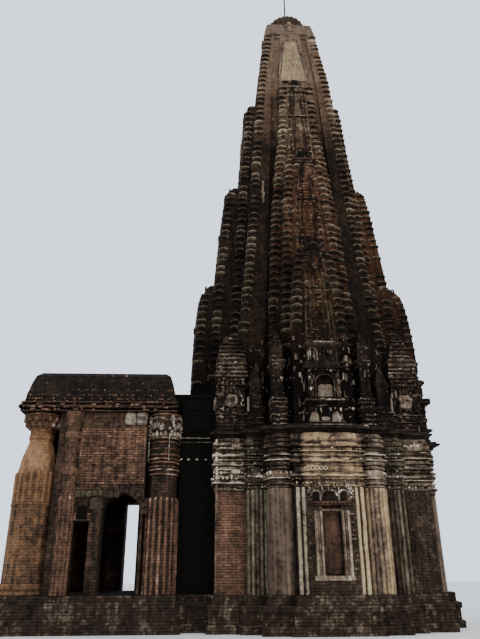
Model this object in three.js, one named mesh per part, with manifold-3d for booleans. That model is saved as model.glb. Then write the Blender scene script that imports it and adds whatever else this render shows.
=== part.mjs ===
// Ruined Nagara temple of brick and lime: a square sanctum under a tall spire, a passage and a hall.
// Millimetres, +Z up. The origin is on the ground under the tower's axis, the side with the niche faces -Y
// and the hall lies on the -X side.
import * as THREE from 'three';
import { mergeVertices } from 'three/addons/utils/BufferGeometryUtils.js';
import Module from 'manifold-3d';

const wasm = await Module();
wasm.setup();

// Driving dimensions
const GAP = 0.3; // joint between pieces that meet face to face
const FLOOR = 900; // top of the plinth
const WALL_TOP = 4950; // underside of the main cornice
const CORNICE_TOP = 5150;
const HALF = 3000; // half the width of the sanctum between its outer corners
const CORNER = 850; // visible width of a corner pier
const CHAMBER = 1500; // half the width of the chamber inside
const STEP_FACE = 3250; // outer face of the fluted strip beside the corner pier
const STEP_INNER = 1620;
const PILASTER_X = 1260; // axis of the half-round pilaster
const PILASTER_Y = 3380;
const PILASTER_R = 340;
const FLUTE_FACE = 3820;
const NICHE_FACE = 3900; // outer face of the middle bay
const NICHE_BAY = 650;
const NICHE = { half: 250, sill: 1350, head: 3030, depth: 180 };
const SPIRE_TOP = 22950;
const NECK_TOP = 23650;
const CAP_TOP = 24950;
const ROD_TOP = 27000;
const ROD_R = 32;
const PASSAGE_FACE = 2500; // outer face of the passage wall, from the axis
const PASSAGE_HALF = 1300; // half the clear width of the passage
const PASSAGE_WALL_TOP = 5300;
const PASSAGE_TOP = 6380;
const DOOR = { half: 450, head: 2900 };
const HALL = { x0: -8660, x1: -4070, half: 3000, wall: 560, wallTop: 5700, corniceTop: 6000 };
const EAST_PIER = { x: -4500, y: 2570, r: 425 };
const WEST_PIER = { x: -8060, y: 2400, r: 600 };
const STEPS = { count: 5, tread: 300, half: 900 };
// The hall's roof outside and inside: height above the cornice, setback from the cornice's edge
const ROOF_OUTER = [
  [0, 50], [280, 100], [570, 160], [850, 250], [980, 400], [1060, 650], [1110, 1000], [1150, 1500],
];
const ROOF_INNER = [[-50, 600], [200, 640], [500, 800], [700, 1100], [800, 1500]];

// A moulding is a band that stands proud of the wall: lower edge, upper edge, projection
const WALL_BANDS = [[3700, 3850, 50], [4130, 4290, 60], [4560, 4800, 70]];
const FLUSH = 2; // projection of the plain wall between mouldings

// Height, half-width of the main spire
const SPIRE = [
  [CORNICE_TOP, 2570], [8000, 2350], [10400, 2110], [12800, 1910], [16500, 1670],
  [18900, 1500], [20050, 1410], [21400, 1250], [SPIRE_TOP, 1070],
];
// Height, reach from the tower's axis, half-width across
const TIERS = {
  lower: [
    [CORNICE_TOP, 3860, 850], [7000, 3860, 830], [7650, 3850, 812], [7710, 3850, 810], [8500, 3820, 780],
    [9500, 3770, 720], [10200, 3700, 640], [10500, 3650, 590], [10700, 3580, 550], [10850, 3460, 500],
  ],
  middle: [
    [CORNICE_TOP, 3430, 1100], [8000, 3320, 1020], [11300, 3110, 900], [13650, 2890, 750],
    [14300, 2820, 680], [14800, 2760, 630], [15000, 2730, 590], [15150, 2670, 560], [15200, 2580, 530],
  ],
  upper: [
    [CORNICE_TOP, 2850, 1470], [9000, 2620, 1350], [12300, 2420, 1180], [14500, 2290, 985],
    [15400, 2220, 885], [16650, 2130, 735], [18000, 2040, 690], [18900, 1970, 660], [19200, 1930, 640],
    [19330, 1860, 600], [19400, 1740, 560],
  ],
};
// The east side has kept more of its brickwork: added reach of its half-spires above the balcony
const EAST_REACH = { lower: 110, middle: 20, upper: 80 };
const BALCONY_TOP = 7700;
// The small hood on the flat top of a half-spire: rise and setback from the top's front edge, half-width
const HOOD = [[20, 20, 270], [230, 40, 250], [330, 110, 190], [390, 220, 90]];

// Solids

function toManifold(geometry) {
  const bare = geometry.clone();
  bare.deleteAttribute('normal');
  bare.deleteAttribute('uv');
  const merged = mergeVertices(bare, 0.001);
  return new wasm.Manifold(new wasm.Mesh({
    numProp: 3,
    vertProperties: new Float32Array(merged.attributes.position.array),
    triVerts: new Uint32Array(merged.index.array),
  }));
}

function toGeometry(manifold) {
  const mesh = manifold.getMesh();
  const geometry = new THREE.BufferGeometry();
  geometry.setAttribute('position', new THREE.BufferAttribute(new Float32Array(mesh.vertProperties), 3));
  geometry.setIndex(new THREE.BufferAttribute(new Uint32Array(mesh.triVerts), 1));
  return geometry;
}

function cut(geometry, ...tools) {
  let solid = toManifold(geometry);
  for (const tool of tools) solid = solid.subtract(toManifold(tool));
  return toGeometry(solid);
}

// Mirrors a piece to the +Y side and turns its faces the right way out again
function mirrorY(geometry) {
  const mirrored = geometry.clone().scale(1, -1, 1);
  const index = mirrored.index;
  for (let i = 0; i < index.count; i += 3) {
    const second = index.getX(i + 1);
    index.setX(i + 1, index.getX(i + 2));
    index.setX(i + 2, second);
  }
  return mirrored;
}

// A solid through closed outlines, one for each height, all with the same number of points, anticlockwise
function loft(sections) {
  const count = sections[0].points.length;
  const positions = [];
  const index = [];
  for (const { z, points } of sections) for (const [x, y] of points) positions.push(x, y, z);
  for (let level = 0; level + 1 < sections.length; level++) {
    for (let i = 0; i < count; i++) {
      const a = level * count + i;
      const b = level * count + (i + 1) % count;
      index.push(a, b, b + count, a, b + count, a + count);
    }
  }
  const cap = (section, offset, flip) => {
    const contour = section.points.map(([x, y]) => new THREE.Vector2(x, y));
    for (const [a, b, c] of THREE.ShapeUtils.triangulateShape(contour, [])) {
      if (flip) index.push(offset + a, offset + c, offset + b);
      else index.push(offset + a, offset + b, offset + c);
    }
  };
  cap(sections[0], 0, true);
  cap(sections.at(-1), (sections.length - 1) * count, false);
  const geometry = new THREE.BufferGeometry();
  geometry.setAttribute('position', new THREE.Float32BufferAttribute(positions, 3));
  geometry.setIndex(index);
  return geometry;
}

function prism(points, z0, z1) {
  return loft([{ z: z0, points }, { z: z1, points }]);
}

function block(x0, x1, y0, y1, z0, z1) {
  return prism([[x0, y0], [x1, y0], [x1, y1], [x0, y1]], z0, z1);
}

function regular(x, y, radius, sides) {
  return Array.from({ length: sides }, (_, i) => {
    const angle = (i + 0.5) / sides * 2 * Math.PI;
    return [x + radius * Math.cos(angle), y + radius * Math.sin(angle)];
  });
}

// Repeats an outline of one face (seen from -Y, left to right) on all four sides
function fourSides(face) {
  const turn = ([x, y], quarter) => [[x, y], [-y, x], [-x, -y], [y, -x]][quarter];
  return [0, 1, 2, 3].flatMap((quarter) => face.map((point) => turn(point, quarter)));
}

// Heights and projections of a wall from its foot to its head, with its mouldings
function bandLevels(foot, head, bands) {
  const levels = [[foot, FLUSH]];
  for (const [low, high, out] of bands) {
    levels.push([low, FLUSH], [low + 20, out], [high - 20, out], [high, FLUSH]);
  }
  levels.push([head, FLUSH]);
  return levels;
}

// Sanctum

function facePoints(out) {
  const bay = (side) => {
    const arc = Array.from({ length: 6 }, (_, i) => {
      const angle = Math.PI * (1 + i / 5);
      return [-PILASTER_X + PILASTER_R * Math.cos(angle), -PILASTER_Y + (PILASTER_R + out) * Math.sin(angle)];
    });
    const points = [
      [-HALF + CORNER, -STEP_FACE - out],
      [-STEP_INNER, -STEP_FACE - out],
      ...arc,
      [-PILASTER_X + PILASTER_R, -FLUTE_FACE - out],
      [-NICHE_BAY, -FLUTE_FACE - out],
      [-NICHE_BAY, -NICHE_FACE - out],
    ];
    return side < 0 ? points : points.map(([x, y]) => [-x, y]).reverse();
  };
  return [...bay(-1), ...bay(1)];
}

function sideWall() {
  const corner = HALF - CORNER;
  const outline = (out) => [
    [CHAMBER - GAP, -CHAMBER],
    [-CHAMBER + GAP, -CHAMBER],
    [-CHAMBER + GAP, -HALF - GAP],
    [-corner, -HALF - GAP],
    ...facePoints(out),
    [corner, -HALF - GAP],
    [CHAMBER - GAP, -HALF - GAP],
  ];
  const levels = bandLevels(FLOOR, WALL_TOP, WALL_BANDS);
  const wall = loft(levels.map(([z, out]) => ({ z, points: outline(out) })));
  const niche = block(
    -NICHE.half, NICHE.half, -NICHE_FACE - 100, -NICHE_FACE + NICHE.depth, NICHE.sill, NICHE.head,
  );
  return cut(wall, niche);
}

function cornerPier() {
  const corner = HALF - CORNER + GAP;
  const outline = (out) => [
    [-HALF, -CHAMBER],
    [-HALF, -corner],
    [-HALF - out, -corner],
    [-HALF - out, -HALF - out],
    [-corner, -HALF - out],
    [-corner, -HALF],
    [-CHAMBER, -HALF],
    [-CHAMBER, -CHAMBER],
  ];
  const levels = bandLevels(FLOOR, WALL_TOP, WALL_BANDS);
  return loft(levels.map(([z, out]) => ({ z, points: outline(out) })));
}

// Outline of the whole sanctum with its stepped projections, out beyond the walls
function sanctumOutline(out) {
  const corner = HALF - CORNER;
  return fourSides([
    [-HALF - out, -HALF - out],
    [-corner - out, -HALF - out],
    [-corner - out, -STEP_FACE - out],
    [-STEP_INNER - out, -STEP_FACE - out],
    [-STEP_INNER - out, -PILASTER_Y - PILASTER_R - out],
    [-PILASTER_X + PILASTER_R - out, -PILASTER_Y - PILASTER_R - out],
    [-PILASTER_X + PILASTER_R - out, -NICHE_FACE - out],
    [PILASTER_X - PILASTER_R + out, -NICHE_FACE - out],
    [PILASTER_X - PILASTER_R + out, -PILASTER_Y - PILASTER_R - out],
    [STEP_INNER + out, -PILASTER_Y - PILASTER_R - out],
    [STEP_INNER + out, -STEP_FACE - out],
    [corner + out, -STEP_FACE - out],
    [corner + out, -HALF - out],
  ]);
}

function stack(levels, outline) {
  return loft(levels.map(([z, out]) => ({ z, points: outline(out) })));
}

const passageSpace = block(
  -5000, -HALF, -PASSAGE_FACE - GAP, PASSAGE_FACE + GAP, FLOOR, PASSAGE_TOP + GAP,
);

function sanctumPlinth(extra = 0) {
  return stack([
    [0, 230 + extra], [180, 230 + extra], [220, 160 + extra], [480, 160 + extra],
    [520, 200 + extra], [640, 200 + extra], [680, 90 + extra], [FLOOR, 90 + extra],
  ], sanctumOutline);
}

// The thin ledge has broken off in front of the east bay
function mainCornice() {
  const slab = stack([
    [WALL_TOP, 20], [5010, 20], [5035, 190], [5085, 190], [5105, 110], [CORNICE_TOP, 110],
  ], sanctumOutline);
  const broken = block(NICHE_FACE + 50, NICHE_FACE + 300, -1300, 1300, WALL_TOP + 30, CORNICE_TOP + 30);
  return cut(slab, passageSpace, broken);
}

// Spire

// One face of the main spire in units of its half-width: corner bands, sunk strips and a middle band
const SPIRE_FACE = [
  [-1, -1], [-0.64, -1], [-0.64, -0.94], [-0.41, -0.94], [-0.41, -1.02],
  [0.41, -1.02], [0.41, -0.94], [0.64, -0.94], [0.64, -1],
];

function mainSpire(extra = 0) {
  const levels = SPIRE.map(([z, half]) => ({
    z,
    points: fourSides(SPIRE_FACE.map(([x, y]) => [x * (half + extra), y * (half + extra)])),
  }));
  return loft(extra > 0 ? lowered(levels) : levels);
}

// A tool runs on a little below the piece that it stands for
function lowered(sections) {
  return [{ ...sections[0], z: sections[0].z - 50 }, ...sections];
}

// A half-spire leans on the spire behind it, so its back runs on inside and is cut to fit
function halfSpire(levels, extra = 0) {
  const band = 80;
  const [topZ, topReach] = levels.at(-1);
  const hood = HOOD.map(([rise, setback, half]) => [topZ + rise, topReach - setback, half]);
  const all = [...levels, ...hood];
  const sections = all.map(([z, reach, half], i) => {
    const front = -reach - extra;
    const side = half + extra;
    return {
      z: i + 1 === all.length ? z + extra : z,
      points: [
        [-side, -400],
        [-side, front + band],
        [-side * 0.62, front + band],
        [-side * 0.56, front + 15],
        [-side * 0.25, front],
        [side * 0.25, front],
        [side * 0.56, front + 15],
        [side * 0.62, front + band],
        [side, front + band],
        [side, -400],
      ],
    };
  });
  return loft(extra > 0 ? lowered(sections) : sections);
}

function tierLevels(tier, side) {
  const kept = side === 'east' ? EAST_REACH[tier] : 0;
  return TIERS[tier].map(([z, reach, half]) => [z, reach + (z > BALCONY_TOP ? kept : 0), half]);
}

const spireTool = mainSpire(2 * GAP);

function cornerTurret() {
  const centre = HALF - CORNER / 2;
  const levels = [
    [CORNICE_TOP, 425], [5300, 425], [5330, 395], [5480, 395], [5510, 425], [5640, 425], [5680, 390],
    [6750, 400], [6800, 440], [6920, 440], [6960, 395], [7200, 390], [7240, 420], [7340, 420],
    [7400, 330], [7900, 230], [8200, 110], [8300, 40],
  ];
  const turret = loft(levels.map(([z, half]) => ({
    z,
    points: [
      [-centre - half, -centre - half], [-centre + half, -centre - half],
      [-centre + half, -centre + half], [-centre - half, -centre + half],
    ],
  })));
  return cut(turret, spireTool, halfSpire(TIERS.upper, GAP), turnedTool(TIERS.upper));
}

// The same half-spire on the -X side, as a tool
function turnedTool(levels) {
  return halfSpire(levels, GAP).rotateZ(-Math.PI / 2);
}

function neckBand() {
  const plan = (half) => {
    const chamfer = 0.93 * half;
    return fourSides([[-chamfer, -half], [0, -half * 1.02], [chamfer, -half]]);
  };
  return loft([
    { z: SPIRE_TOP, points: plan(1100) },
    { z: SPIRE_TOP + 80, points: plan(1100) },
    { z: NECK_TOP, points: plan(985) },
  ]);
}

function lathe(profile, sides) {
  const points = profile.map(([r, z]) => new THREE.Vector2(r, z));
  return new THREE.LatheGeometry(points, sides).rotateX(Math.PI / 2);
}

function balcony() {
  const back = -TIERS.lower[0][1] - GAP;
  const levels = [
    [CORNICE_TOP, 460, 4020], [5700, 460, 4020], [5740, 560, 4170], [5820, 560, 4170], [5860, 420, 4050],
    [6650, 420, 4050], [6690, 580, 4250], [6860, 580, 4250], [6900, 440, 4040], [7300, 440, 4030],
    [7360, 500, 4110], [7520, 500, 4110], [7620, 300, 3960],
  ];
  const body = loft(levels.map(([z, half, front]) => ({
    z,
    points: [[-half, -front], [half, -front], [half, back], [-half, back]],
  })));
  const lowNiche = block(-240, 240, -4200, -3900, 5900, 6560);
  const highNiche = block(-230, 230, -4200, -3900, 6940, 7250);
  return cut(body, lowNiche, highNiche);
}

// Passage and hall

function passageWall() {
  const behindPier = -EAST_PIER.y + EAST_PIER.r + 5;
  const points = [
    [-4650, behindPier], [HALL.x1 + 20, behindPier], [HALL.x1 + 20, -PASSAGE_FACE], [-HALF, -PASSAGE_FACE],
    [-HALF, -PASSAGE_HALF], [-4650, -PASSAGE_HALF],
  ];
  const pierTool = cornerPier().translate(-GAP, GAP, 0);
  return cut(prism(points, FLOOR, PASSAGE_WALL_TOP), pierTool);
}

// Extrudes an outline of x and z along Y, as far each way from the middle
function profileAlongY(points, half) {
  const shape = new THREE.Shape(points.map(([x, z]) => new THREE.Vector2(x, z)));
  const geometry = new THREE.ExtrudeGeometry(shape, { depth: 2 * half, bevelEnabled: false });
  return geometry.rotateX(Math.PI / 2).translate(0, half, 0);
}

// The slab's upper part runs on over the hall's cornice to meet the hall's roof
function passageRoof() {
  const meets = HALL.x1 - 260;
  const step = HALL.corniceTop + GAP;
  const slab = profileAlongY([
    [HALL.x1 + 50, PASSAGE_WALL_TOP], [-HALF - GAP, PASSAGE_WALL_TOP], [-HALF - GAP, PASSAGE_TOP],
    [meets, PASSAGE_TOP], [meets, step], [HALL.x1 + 50, step],
  ], PASSAGE_FACE);
  const vault = block(-5000, -2900, -PASSAGE_HALF, PASSAGE_HALF, 5000, 5600);
  return cut(slab, vault, roofShell(ROOF_OUTER).translate(GAP, 0, 0));
}

function pier(centre, levels, sides) {
  return loft(levels.map(([z, radius]) => ({
    z,
    points: regular(centre.x, -centre.y, radius, sides),
  })));
}

function eastPier() {
  const r = EAST_PIER.r;
  return pier(EAST_PIER, [
    [FLOOR, r], [3340, r], [3370, r - 30], [3950, r - 30], [3990, r + 10], [4160, r + 20], [4200, r - 20],
    [4420, r + 10], [4460, r - 20], [4700, r - 15], [4880, r - 70], [4960, r - 70], [5050, r - 20],
    [5600, r + 50], [5640, r + 20], [HALL.wallTop, r + 20],
  ], 12);
}

function westPier() {
  const r = WEST_PIER.r;
  return pier(WEST_PIER, [
    [FLOOR, r], [3180, r], [3210, r - 20], [4050, r - 50], [4500, r - 130], [4950, r - 270],
    [5080, r - 240], [5180, r - 290], [5300, r - 240], [5620, r - 60], [HALL.wallTop, r - 60],
  ], 12);
}

// A doorway with a round head, as a tool that runs through a wall along Y
function archTool(x0, x1, spring, crown, y0, y1) {
  const shape = new THREE.Shape();
  const middle = (x0 + x1) / 2;
  const half = (x1 - x0) / 2;
  shape.moveTo(x0, FLOOR - 100);
  shape.lineTo(x1, FLOOR - 100);
  shape.lineTo(x1, spring);
  shape.absellipse(middle, spring, half, crown - spring, 0, Math.PI, false);
  shape.closePath();
  const settings = { depth: y1 - y0, bevelEnabled: false, curveSegments: 10 };
  const geometry = new THREE.ExtrudeGeometry(shape, settings);
  return geometry.rotateX(Math.PI / 2).translate(0, y1, 0);
}

const hallWallX0 = WEST_PIER.x + WEST_PIER.r + 5;
const hallWallX1 = EAST_PIER.x - EAST_PIER.r - 55;

function hallSouthWall() {
  const wall = block(
    hallWallX0, hallWallX1, -HALL.half + 60, -HALL.half + 60 + HALL.wall, FLOOR, HALL.wallTop,
  );
  const arch = archTool(-6100, -5050, 2900, 3450, -HALL.half - 200, -HALL.half + 900);
  const lowDoor = block(-6850, -6400, -HALL.half - 200, -HALL.half + 900, FLOOR - 100, 2730);
  return cut(wall, arch, lowDoor);
}

function hallNorthWall() {
  const wall = block(
    hallWallX0, hallWallX1, HALL.half - 60 - HALL.wall, HALL.half - 60, FLOOR, HALL.wallTop,
  );
  return cut(wall, block(-6150, -5700, HALL.half - 900, HALL.half + 200, FLOOR - 100, 3740));
}

function hallWestWall() {
  const half = WEST_PIER.y - WEST_PIER.r - 5;
  const x1 = HALL.x0 + HALL.wall + 60;
  const wall = block(HALL.x0 + 60, x1, -half, half, FLOOR, HALL.wallTop);
  const arch = archTool(-900, 900, 2700, 3450, -x1 - 200, -HALL.x0 + 200).rotateZ(Math.PI / 2);
  return cut(wall, arch);
}

function hallPlinth() {
  const outline = (out) => [
    [HALL.x0 - out, -HALL.half - out], [HALL.x1 + out, -HALL.half - out],
    [HALL.x1 + out, -PASSAGE_FACE - out], [-2900, -PASSAGE_FACE - out],
    [-2900, PASSAGE_FACE + out], [HALL.x1 + out, PASSAGE_FACE + out],
    [HALL.x1 + out, HALL.half + out], [HALL.x0 - out, HALL.half + out],
  ];
  const body = stack([[0, 200], [200, 200], [240, 120], [700, 120], [740, 60], [FLOOR, 60]], outline);
  const tool = sanctumPlinth(GAP);
  return cut(body, tool);
}

function entranceSteps() {
  const rise = FLOOR / STEPS.count;
  const end = HALL.x0 - 200 - GAP;
  const points = [[end, 0]];
  for (let i = 0; i < STEPS.count; i++) {
    points.push([end - (STEPS.count - i) * STEPS.tread, i * rise]);
    points.push([end - (STEPS.count - i) * STEPS.tread, (i + 1) * rise]);
  }
  points.push([end, FLOOR]);
  return profileAlongY(points, STEPS.half);
}

function rectangle(x0, x1, half) {
  return [[x0, -half], [x1, -half], [x1, half], [x0, half]];
}

function hallCornice() {
  const outline = (out) => rectangle(HALL.x0 + 60 - out, HALL.x1 - 60 + out, HALL.half + out);
  const slab = stack([
    [HALL.wallTop, 0], [5760, 0], [5800, 60], [5880, 60], [5920, 10], [HALL.corniceTop, 10],
  ], outline);
  return cut(slab, block(HALL.x0 + 620, HALL.x1 - 600, -2380, 2380, 5000, 7000));
}

function roofShell(levels) {
  return loft(levels.map(([up, back]) => ({
    z: HALL.corniceTop + up,
    points: rectangle(HALL.x0 + 60 + back, HALL.x1 - 60 - back, HALL.half - back),
  })));
}

function hallRoof() {
  return cut(roofShell(ROOF_OUTER), roofShell(ROOF_INNER));
}

// Assembly

const temple = new THREE.Group();

const finishes = {
  dark: { color: 0x3a322b, roughness: 0.95 },
  grey: { color: 0x8a8074, roughness: 0.9 },
  brick: { color: 0x6d4a3b, roughness: 0.95 },
  tan: { color: 0x9b8266, roughness: 0.9 },
  iron: { color: 0x4a4744, roughness: 0.6, metalness: 0.7 },
};

function add(name, finish, geometry, quarter = 0, parent = temple) {
  const material = new THREE.MeshStandardMaterial({ metalness: 0, ...finishes[finish] });
  const mesh = new THREE.Mesh(geometry, material);
  mesh.name = name;
  mesh.rotation.z = quarter * Math.PI / 2;
  parent.add(mesh);
  return mesh;
}

// Quarter turns that carry a piece made on the -Y side, or in the -X -Y corner, round the tower
const SIDES = [['south', 0], ['east', 1], ['north', 2], ['west', 3]];
const CORNERS = [['sw', 0], ['se', 1], ['ne', 2], ['nw', 3]];

add('sanctum_plinth', 'grey', sanctumPlinth());
for (const [corner, quarter] of CORNERS) add(`corner_pier_${corner}`, 'grey', cornerPier(), quarter);
for (const [side, quarter] of SIDES.slice(0, 3)) add(`${side}_wall`, 'tan', sideWall(), quarter);

const westWall = new THREE.Group();
temple.add(westWall);
const wallInner = CHAMBER - GAP;
add('west_wall_left', 'dark', block(-HALF, -CHAMBER, -wallInner, -DOOR.half, FLOOR, WALL_TOP), 0, westWall);
add('west_wall_right', 'dark', block(-HALF, -CHAMBER, DOOR.half, wallInner, FLOOR, WALL_TOP), 0, westWall);
add('west_wall_lintel', 'dark', block(
  -HALF, -CHAMBER, -DOOR.half + GAP, DOOR.half - GAP, DOOR.head, WALL_TOP,
), 0, westWall);
add('main_cornice', 'dark', mainCornice());

add('main_spire', 'dark', mainSpire());
const overPassage = block(-2600, 2600, -5000, -HALF + 10, CORNICE_TOP - 100, PASSAGE_TOP + GAP);
for (const [side, quarter] of SIDES) {
  const west = side === 'west' ? [overPassage] : [];
  const [upper, middle, lower] = ['upper', 'middle', 'lower'].map((tier) => tierLevels(tier, side));
  const upperTool = halfSpire(upper, GAP);
  const middleTool = halfSpire(middle, GAP);
  add(`upper_half_spire_${side}`, 'dark', cut(halfSpire(upper), spireTool, ...west), quarter);
  add(`middle_half_spire_${side}`, 'brick', cut(halfSpire(middle), spireTool, upperTool, ...west), quarter);
  add(`lower_half_spire_${side}`, 'dark', cut(
    halfSpire(lower), spireTool, upperTool, middleTool, ...west,
  ), quarter);
}
for (const [corner, quarter] of CORNERS) add(`corner_turret_${corner}`, 'dark', cornerTurret(), quarter);
for (const [side, quarter] of SIDES.slice(0, 3)) add(`balcony_${side}`, 'grey', balcony(), quarter);
add('neck_band', 'tan', neckBand());
add('cap_dome', 'dark', lathe([
  [0, NECK_TOP], [880, NECK_TOP], [950, 23820], [940, 24100], [850, 24380], [670, 24600], [420, 24800],
  [200, CAP_TOP], [0, CAP_TOP],
], 16));
add('finial_rod', 'iron', lathe([[0, CAP_TOP], [ROD_R, CAP_TOP], [ROD_R, ROD_TOP], [0, ROD_TOP]], 8));

add('hall_plinth', 'grey', hallPlinth());
add('entrance_steps', 'grey', entranceSteps());
add('passage_wall_south', 'dark', passageWall());
add('passage_wall_north', 'dark', mirrorY(passageWall()));
add('passage_roof', 'dark', passageRoof());
add('hall_pier_se', 'brick', eastPier());
add('hall_pier_ne', 'brick', mirrorY(eastPier()));
add('hall_pier_sw', 'brick', westPier());
add('hall_pier_nw', 'brick', mirrorY(westPier()));
add('hall_wall_south', 'brick', hallSouthWall());
add('hall_wall_north', 'brick', hallNorthWall());
add('hall_wall_west', 'brick', hallWestWall());
add('hall_cornice', 'dark', hallCornice());
add('hall_roof', 'dark', hallRoof());

export default temple;
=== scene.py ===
""" Ruined Nagara temple: finishes, ribs, mouldings and carving on the loaded masonry frame """
import math
import random

import bmesh
import bpy
from bpy.props import FloatProperty, FloatVectorProperty, PointerProperty
from mathutils import Matrix, Vector, noise
from mathutils.bvhtree import BVHTree


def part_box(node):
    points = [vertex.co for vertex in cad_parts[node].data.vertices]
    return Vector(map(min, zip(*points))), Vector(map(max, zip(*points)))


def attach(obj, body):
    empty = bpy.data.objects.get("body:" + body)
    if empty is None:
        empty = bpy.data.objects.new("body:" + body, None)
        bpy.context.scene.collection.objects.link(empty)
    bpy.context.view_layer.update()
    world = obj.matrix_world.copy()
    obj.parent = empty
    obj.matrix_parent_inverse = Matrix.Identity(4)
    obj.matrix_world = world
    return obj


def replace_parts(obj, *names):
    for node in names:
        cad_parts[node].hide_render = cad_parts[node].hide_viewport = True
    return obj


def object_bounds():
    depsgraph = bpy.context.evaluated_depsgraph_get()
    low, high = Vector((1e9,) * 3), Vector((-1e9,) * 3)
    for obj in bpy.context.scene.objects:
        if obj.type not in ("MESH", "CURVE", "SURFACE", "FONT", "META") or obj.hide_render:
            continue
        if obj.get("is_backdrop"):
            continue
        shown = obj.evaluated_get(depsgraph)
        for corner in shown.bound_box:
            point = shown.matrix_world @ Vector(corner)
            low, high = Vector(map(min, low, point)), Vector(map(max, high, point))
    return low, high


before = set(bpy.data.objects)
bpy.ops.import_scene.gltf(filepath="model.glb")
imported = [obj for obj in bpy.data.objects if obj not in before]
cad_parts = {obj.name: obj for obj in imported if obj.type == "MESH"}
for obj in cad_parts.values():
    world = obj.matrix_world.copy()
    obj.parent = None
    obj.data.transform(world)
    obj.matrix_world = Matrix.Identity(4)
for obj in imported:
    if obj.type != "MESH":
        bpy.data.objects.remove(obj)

CAD_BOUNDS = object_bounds()

bl_info = {
    "name": "Temple Masonry",
    "version": (1, 0, 0),
    "blender": (4, 5, 0),
    "location": "View3D > Sidebar > Temple",
    "description": "Dresses a spired brick and lime temple with ribs, mouldings, flutes and worn finishes",
    "category": "Object",
}

# Levels that the frame gives, in metres
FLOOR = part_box("south_wall")[0].z
WALL_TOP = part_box("south_wall")[1].z
CORNICE_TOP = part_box("main_cornice")[1].z
SPIRE_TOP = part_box("main_spire")[1].z
NECK_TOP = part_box("neck_band")[1].z
PASSAGE_FACE = -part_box("passage_roof")[0].y

# Height that the tints of the finishes are spread over, and how far out the rays start
WHOLE_HEIGHT = 27.0
FAR = 14.0

# Plan of one sanctum wall: distances out from the tower's axis and along the wall
PIER_FACE = 3.0
PIER_INNER = 2.15
STRIP_FACE = 3.25
STRIP_INNER = 1.62
PILASTER_U = 1.26
PILASTER_V = 3.38
PILASTER_R = 0.34
FLUTE_FACE = 3.82
BAY_FACE = 3.9
BAY_HALF = 0.65
NICHE_SILL = 1.35
FLUTE_TOP = 3.5

# How far below its front the width of a half-spire is measured, and how far a flake of render stands out
INSIDE = 0.12
FLAKE_OUT = 0.014
# How much darker than the plain wall the groove under a moulding is painted: painted shade
GROOVE_SHADE = 0.8
# Start of the noise that takes the straightness out of worn pieces
WOBBLE_SEED = 7
# A brick with its joint, and the joint, in the brick texture
TEXTURE_BRICK = (0.24, 0.075)
TEXTURE_JOINT = 0.012

SIDES = ["south", "east", "north", "west"]
TIERS = ["upper", "middle", "lower"]


def half_spires():
    """Side, tier and node of each half-spire"""
    sides = list(enumerate(SIDES))
    return [(quarter, tier, tier + "_half_spire_" + side) for quarter, side in sides for tier in TIERS]


# Places and rays

def turned(quarter, u, v, z):
    """A place u along a side, v out from the tower's axis and z up; side 0 faces -Y"""
    x, y = u, -v
    for _ in range(quarter):
        x, y = -y, x
    return Vector((x, y, z))


def bearing(quarter):
    """Turn about Z of what stands on a side"""
    return quarter * math.pi / 2


def at_height(quarter, z, run):
    """Places at one height for a run of (u, v) on a side"""
    return [turned(quarter, u, v, z) for u, v in run]


def along(point):
    """How far to the right of the middle of its side a place lies"""
    ahead = max((-point.y, point.x), (point.x, point.y), (point.y, -point.x), (-point.x, -point.y))
    return ahead[1]


TREES = {}


def tree_of(node):
    """Search tree over the faces of one node, or of every node for "whole", kept once it is made"""
    if node not in TREES:
        corners = []
        faces = []
        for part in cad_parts.values() if node == "whole" else [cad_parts[node]]:
            start = len(corners)
            corners.extend(vertex.co.copy() for vertex in part.data.vertices)
            faces.extend([start + corner for corner in face.vertices] for face in part.data.polygons)
        TREES[node] = BVHTree.FromPolygons(corners, faces)
    return TREES[node]


def met(node, start, aim):
    """How far out a ray from outside meets the node; None where it passes by"""
    hit = tree_of(node).ray_cast(start, aim)
    return None if hit[0] is None else FAR - hit[3]


def reach(node, quarter, u, z):
    """How far out from the axis the node's face stands at one place of a side"""
    return met(node, turned(quarter, u, FAR, z), turned(quarter, 0, -1, 0))


def surface(quarter, u, z):
    """How far out the outermost face of the whole frame stands at one place of a side"""
    return reach("whole", quarter, u, z)


def breadth(node, quarter, v, z):
    """Half the node's width across a side, at a distance v out"""
    return met(node, turned(quarter, FAR, v, z), turned(quarter, -1, 0, 0))


def ripple(place, size, seed=0.0):
    """Smooth noise from -1 to 1 at a place, with patches of about the given size"""
    return noise.noise(Vector(place) / size + Vector((seed, seed * 0.7, -seed)))


def flake(stone, quarter, u, z, half, rise, tone):
    """A patch of render on a side: a dented disc whose rim sinks into the wall; none where the wall steps"""
    sides = 9
    rows = []
    depths = []
    for share, lift in ((0.3, FLAKE_OUT * 1.2), (0.72, FLAKE_OUT), (1.0, FLAKE_OUT * 0.7), (1.03, -0.04)):
        row = []
        for step in range(sides):
            angle = 2 * math.pi * step / sides
            dent = 0.9 + 0.75 * ripple((math.cos(angle) + u, math.sin(angle) + z, quarter), 0.8, u + z)
            across = u + half * share * dent * math.cos(angle)
            height = z + rise * share * dent * math.sin(angle)
            depth = surface(quarter, across, height)
            if depth is None:
                return
            depths.append(depth)
            row.append(turned(quarter, across, depth + lift, height))
        rows.append(row)
    if max(depths) - min(depths) < 0.06 + 0.25 * rise:
        stone.skin(rows, [tone, tone, tone * 0.6, 0.0])


# Meshes

def placed(name, data):
    """A new object for the data, linked to the scene"""
    item = bpy.data.objects.new(name, data)
    bpy.context.scene.collection.objects.link(item)
    return item


def toned_mesh(name, points, edges, faces, tones):
    """A mesh whose points carry their tones"""
    mesh = bpy.data.meshes.new(name)
    mesh.from_pydata(points, edges, faces)
    mesh.attributes.new("tone", "FLOAT", "POINT").data.foreach_set("value", tones)
    return mesh


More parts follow.
